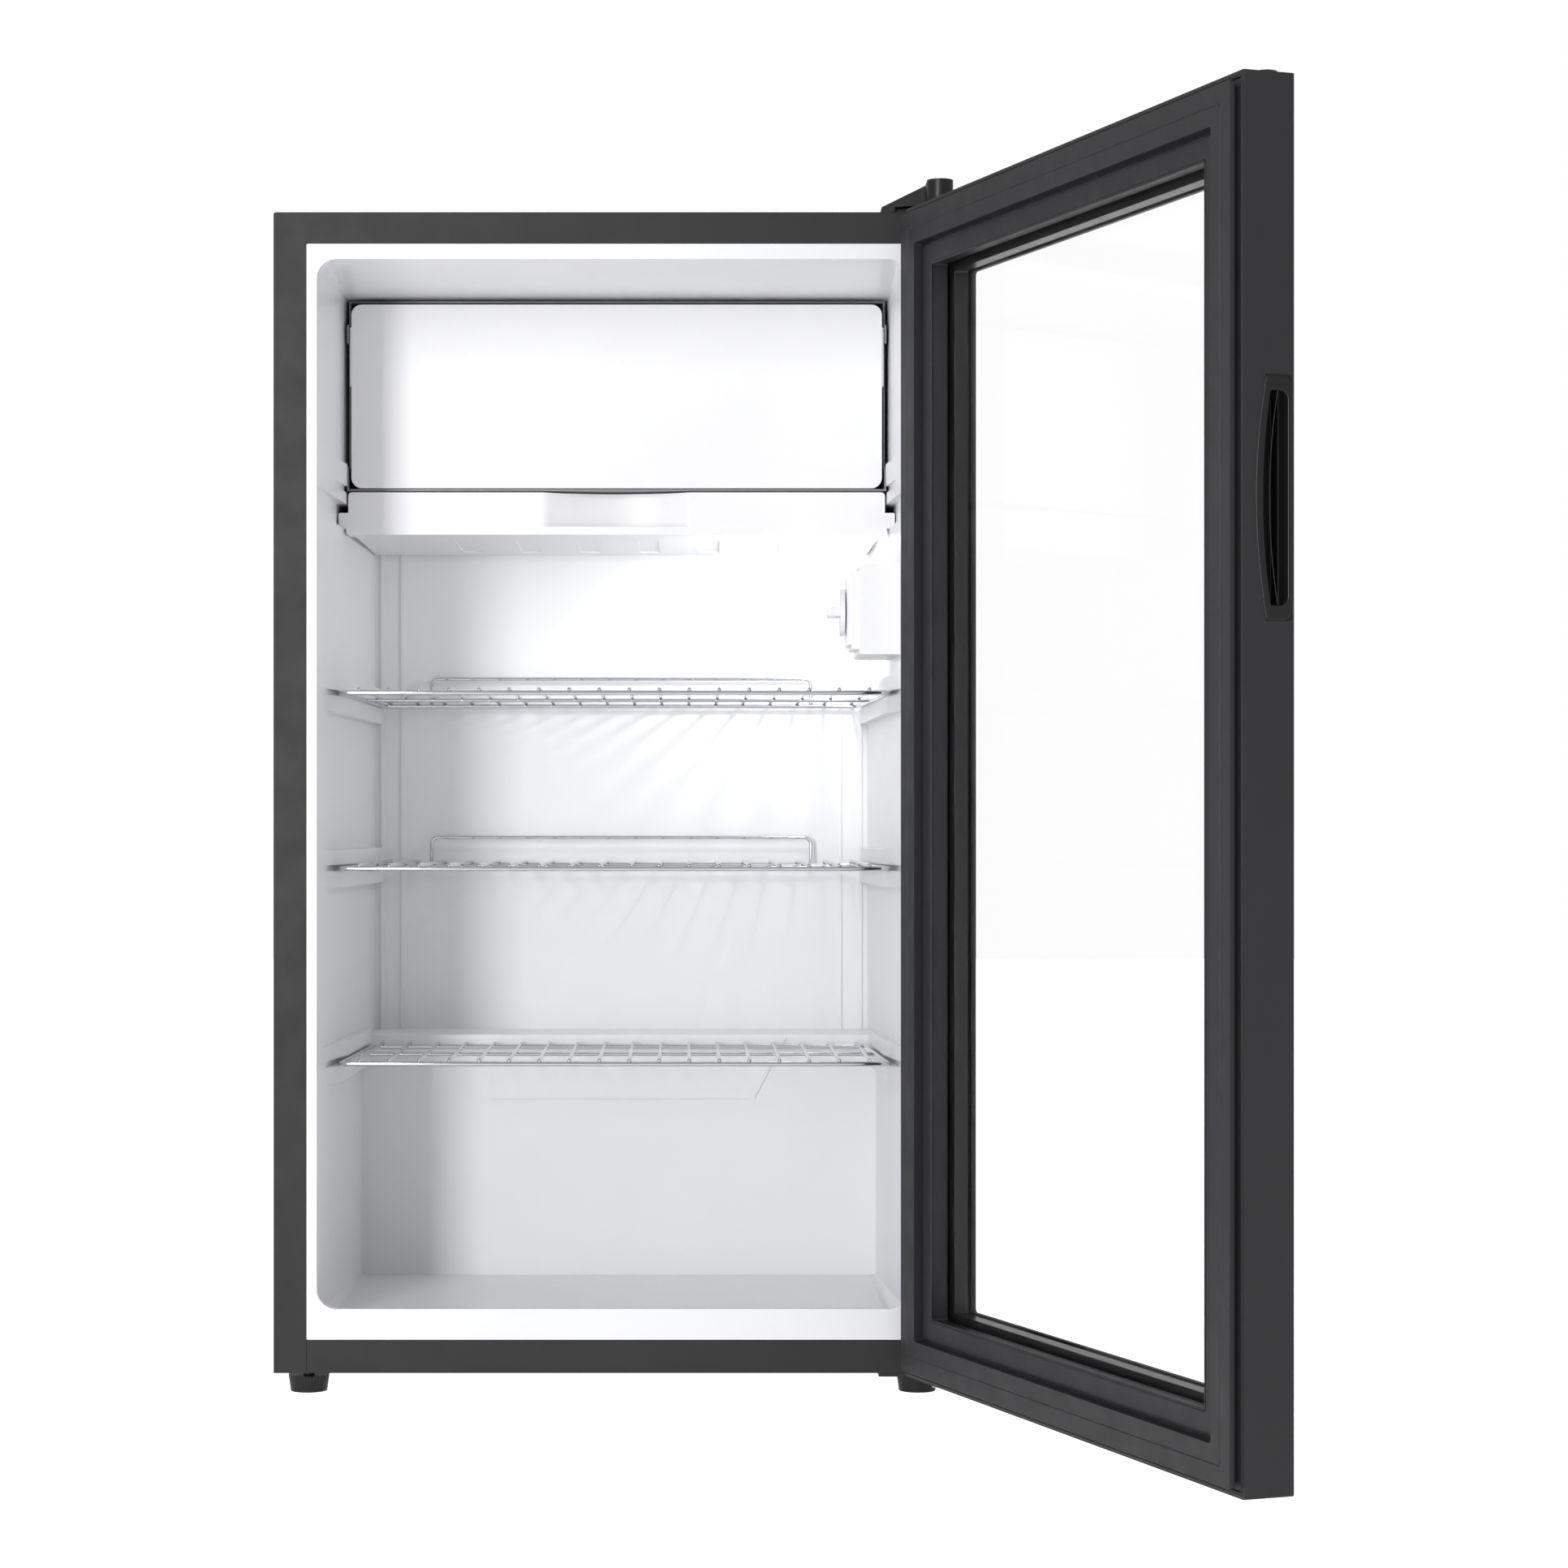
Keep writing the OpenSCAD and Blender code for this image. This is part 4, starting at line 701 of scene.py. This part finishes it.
def copies_tree():
    tree = bpy.data.node_groups.new("copies_at_points", "GeometryNodeTree")
    socket(tree, "Points", "Geometry")
    socket(tree, "Thing", "Object")
    socket(tree, "Size", "Float")
    socket(tree, "Facing", "Vector")
    socket(tree, "Seed", "Int")
    socket(tree, "Finish", "Material")
    socket(tree, "Copies", "Geometry", "OUTPUT")
    add = tree.nodes.new
    start, end = add("NodeGroupInput"), add("NodeGroupOutput")
    info, place = add("GeometryNodeObjectInfo"), add("GeometryNodeInstanceOnPoints")
    spin, align = add("FunctionNodeRandomValue"), add("FunctionNodeAlignRotationToVector")
    turn, both = add("FunctionNodeAxisAngleToRotation"), add("FunctionNodeRotateRotation")
    real, paint = add("GeometryNodeRealizeInstances"), add("GeometryNodeSetMaterial")
    spin.data_type = "FLOAT"
    spin.inputs["Max"].default_value = math.pi / 2
    both.rotation_space = "LOCAL"
    tree.links.new(start.outputs["Thing"], info.inputs["Object"])
    tree.links.new(info.outputs["Geometry"], place.inputs["Instance"])
    tree.links.new(start.outputs["Size"], place.inputs["Scale"])
    tree.links.new(start.outputs["Seed"], spin.inputs["Seed"])
    tree.links.new(spin.outputs["Value"], turn.inputs["Angle"])
    tree.links.new(start.outputs["Facing"], align.inputs["Vector"])
    tree.links.new(align.outputs["Rotation"], both.inputs["Rotation"])
    tree.links.new(turn.outputs["Rotation"], both.inputs["Rotate By"])
    tree.links.new(both.outputs["Rotation"], place.inputs["Rotation"])
    tree.links.new(start.outputs["Finish"], paint.inputs["Material"])
    chain(tree, start, place, real, paint, end)
    return tree


COPIES = copies_tree()
print("nodes in the copies tree:", len(COPIES.nodes))

# %% [markdown]
# Each group of screws faces one way: backwards on the back panel, up on the upper hinge and down
# on the lower one. The screws sink into their seats, as a driven screw does.

# %% Screws of the back panel and the hinges
screw = bpy.data.objects.new("screw_pattern", screw_mesh())
scene.collection.objects.link(screw)


def screws(node, facing, seed):
    """Sets screws where a CAD node has them, facing a direction along one axis."""
    facing = Vector(facing)
    axis = max(range(3), key=lambda i: abs(facing[i]))
    side = (axis + 1) % 3
    points = []
    for low, high in islands(node):
        radius = (high[side] - low[side]) / 2
        middle = (low + high) / 2
        top = high[axis] if facing[axis] > 0 else low[axis]
        middle[axis] = top - facing[axis] * 0.55 * radius
        points.append(middle)
    mesh = bpy.data.meshes.new(node + "_places")
    mesh.from_pydata(points, [], [])
    result = grow(COPIES, mesh, {"Thing": screw, "Size": radius, "Facing": facing, "Seed": seed,
                                 "Finish": SCREW_STEEL})
    for polygon in result.polygons:
        polygon.use_smooth = False
    print(node, "screws:", len(points), "radius", round(radius / MM, 2), "mm")
    return piece_from(node + "_cross_heads", result, SCREW_STEEL, NODE_BODY[node], node)


screws("back_panel_screws", (0, 1, 0), 3)
screws("top_hinge_screws", (0, 0, 1), 5)
screws("bottom_hinge_screws", (0, 0, -1), 8)
bpy.data.objects.remove(screw)

# %% [markdown]
# Most of the other parts are folded sheet or moulded plastic, and neither has a knife edge. Each
# gets a rounded copy in place of its CAD node. Folded steel bends tightly, while the vacuum-formed
# liner has broad, soft corners, so the width of the rounding in millimetres differs by part.

# %% Sheet and moulded parts
ROUNDED = [
    ("outer_wrap", CABINET_PAINT, 0.7), ("bottom_rail", CABINET_PAINT, 0.7),
    ("back_panel", CABINET_PAINT, 0.4), ("base_pan", GALVANISED, 0.3),
    ("machine_bay_wall", GALVANISED, 0.3), ("inner_liner", LINER_PLASTIC, 2.0),
    ("evaporator_box", EVAPORATOR_GAP_SHADE, 0.3), ("freezer_flap", WHITE_PLASTIC, 1.2),
    ("drip_tray", WHITE_PLASTIC, 0.8), ("control_housing", WHITE_PLASTIC, 1.0),
    ("thermostat_knob", WHITE_PLASTIC, 0.8), ("thermostat_body", GALVANISED, 0.4),
    ("compressor", COMPRESSOR_PAINT, 0.8), ("compressor_grommets", FOOT_RUBBER, 0.5),
    ("compressor_relay_cover", BLACK_PLASTIC, 1.0), ("filter_drier", COPPER, 0.4),
    ("cord_grommet", FOOT_RUBBER, 0.5), ("top_hinge_bracket", HINGE_PAINT, 0.4),
    ("top_hinge_cover", BLACK_PLASTIC, 1.2), ("bottom_hinge_bracket", HINGE_PAINT, 0.4),
    ("hinge_hole_cap", BLACK_PLASTIC, 0.5), ("front_foot_left", BLACK_PLASTIC, 0.5),
    ("front_foot_right", BLACK_PLASTIC, 0.5), ("rear_feet", FOOT_RUBBER, 0.8),
    ("door_frame", DOOR_PLASTIC, 1.0), ("door_inner_frame", INNER_FRAME_PLASTIC, 0.8),
    ("glass_spacer", BLACK_PLASTIC, 0.4), ("handle_insert", BLACK_PLASTIC, 1.0),
    ("door_top_bush", WHITE_PLASTIC, 0.3), ("door_bottom_bush", WHITE_PLASTIC, 0.3),
    ("door_plug_cap", BLACK_PLASTIC, 0.4), ("door_seal", SEAL_RUBBER, 1.1),
]
for node, finish, width in ROUNDED:
    rounded(node, finish, width)
print("rounded copies:", len(ROUNDED))

# %% [markdown]
# Some parts are round already or lie out of sight: bent tubes, pins, screws inside the housing,
# the foam, and the flat panes. Their CAD shape is right, so they only change their finish.

# %% Nodes that keep their CAD shape
KEPT = {
    "foam_insulation": FOAM, "condenser_coil": COPPER, "refrigerant_tubes": COPPER,
    "lamp_lens": LENS_PLASTIC, "lamp_board": BOARD, "outer_glass": PANE_GLASS,
    "inner_glass": PANE_GLASS, "evaporator_screws": SCREW_STEEL, "control_screws": SCREW_STEEL,
    "compressor_bolts": SCREW_STEEL, "top_hinge_pin": SCREW_STEEL,
    "bottom_hinge_pin": SCREW_STEEL,
}
for node, finish in KEPT.items():
    for slot in frame["nodes"][node].material_slots:
        slot.material = finish
print("nodes that keep their shape:", len(KEPT))
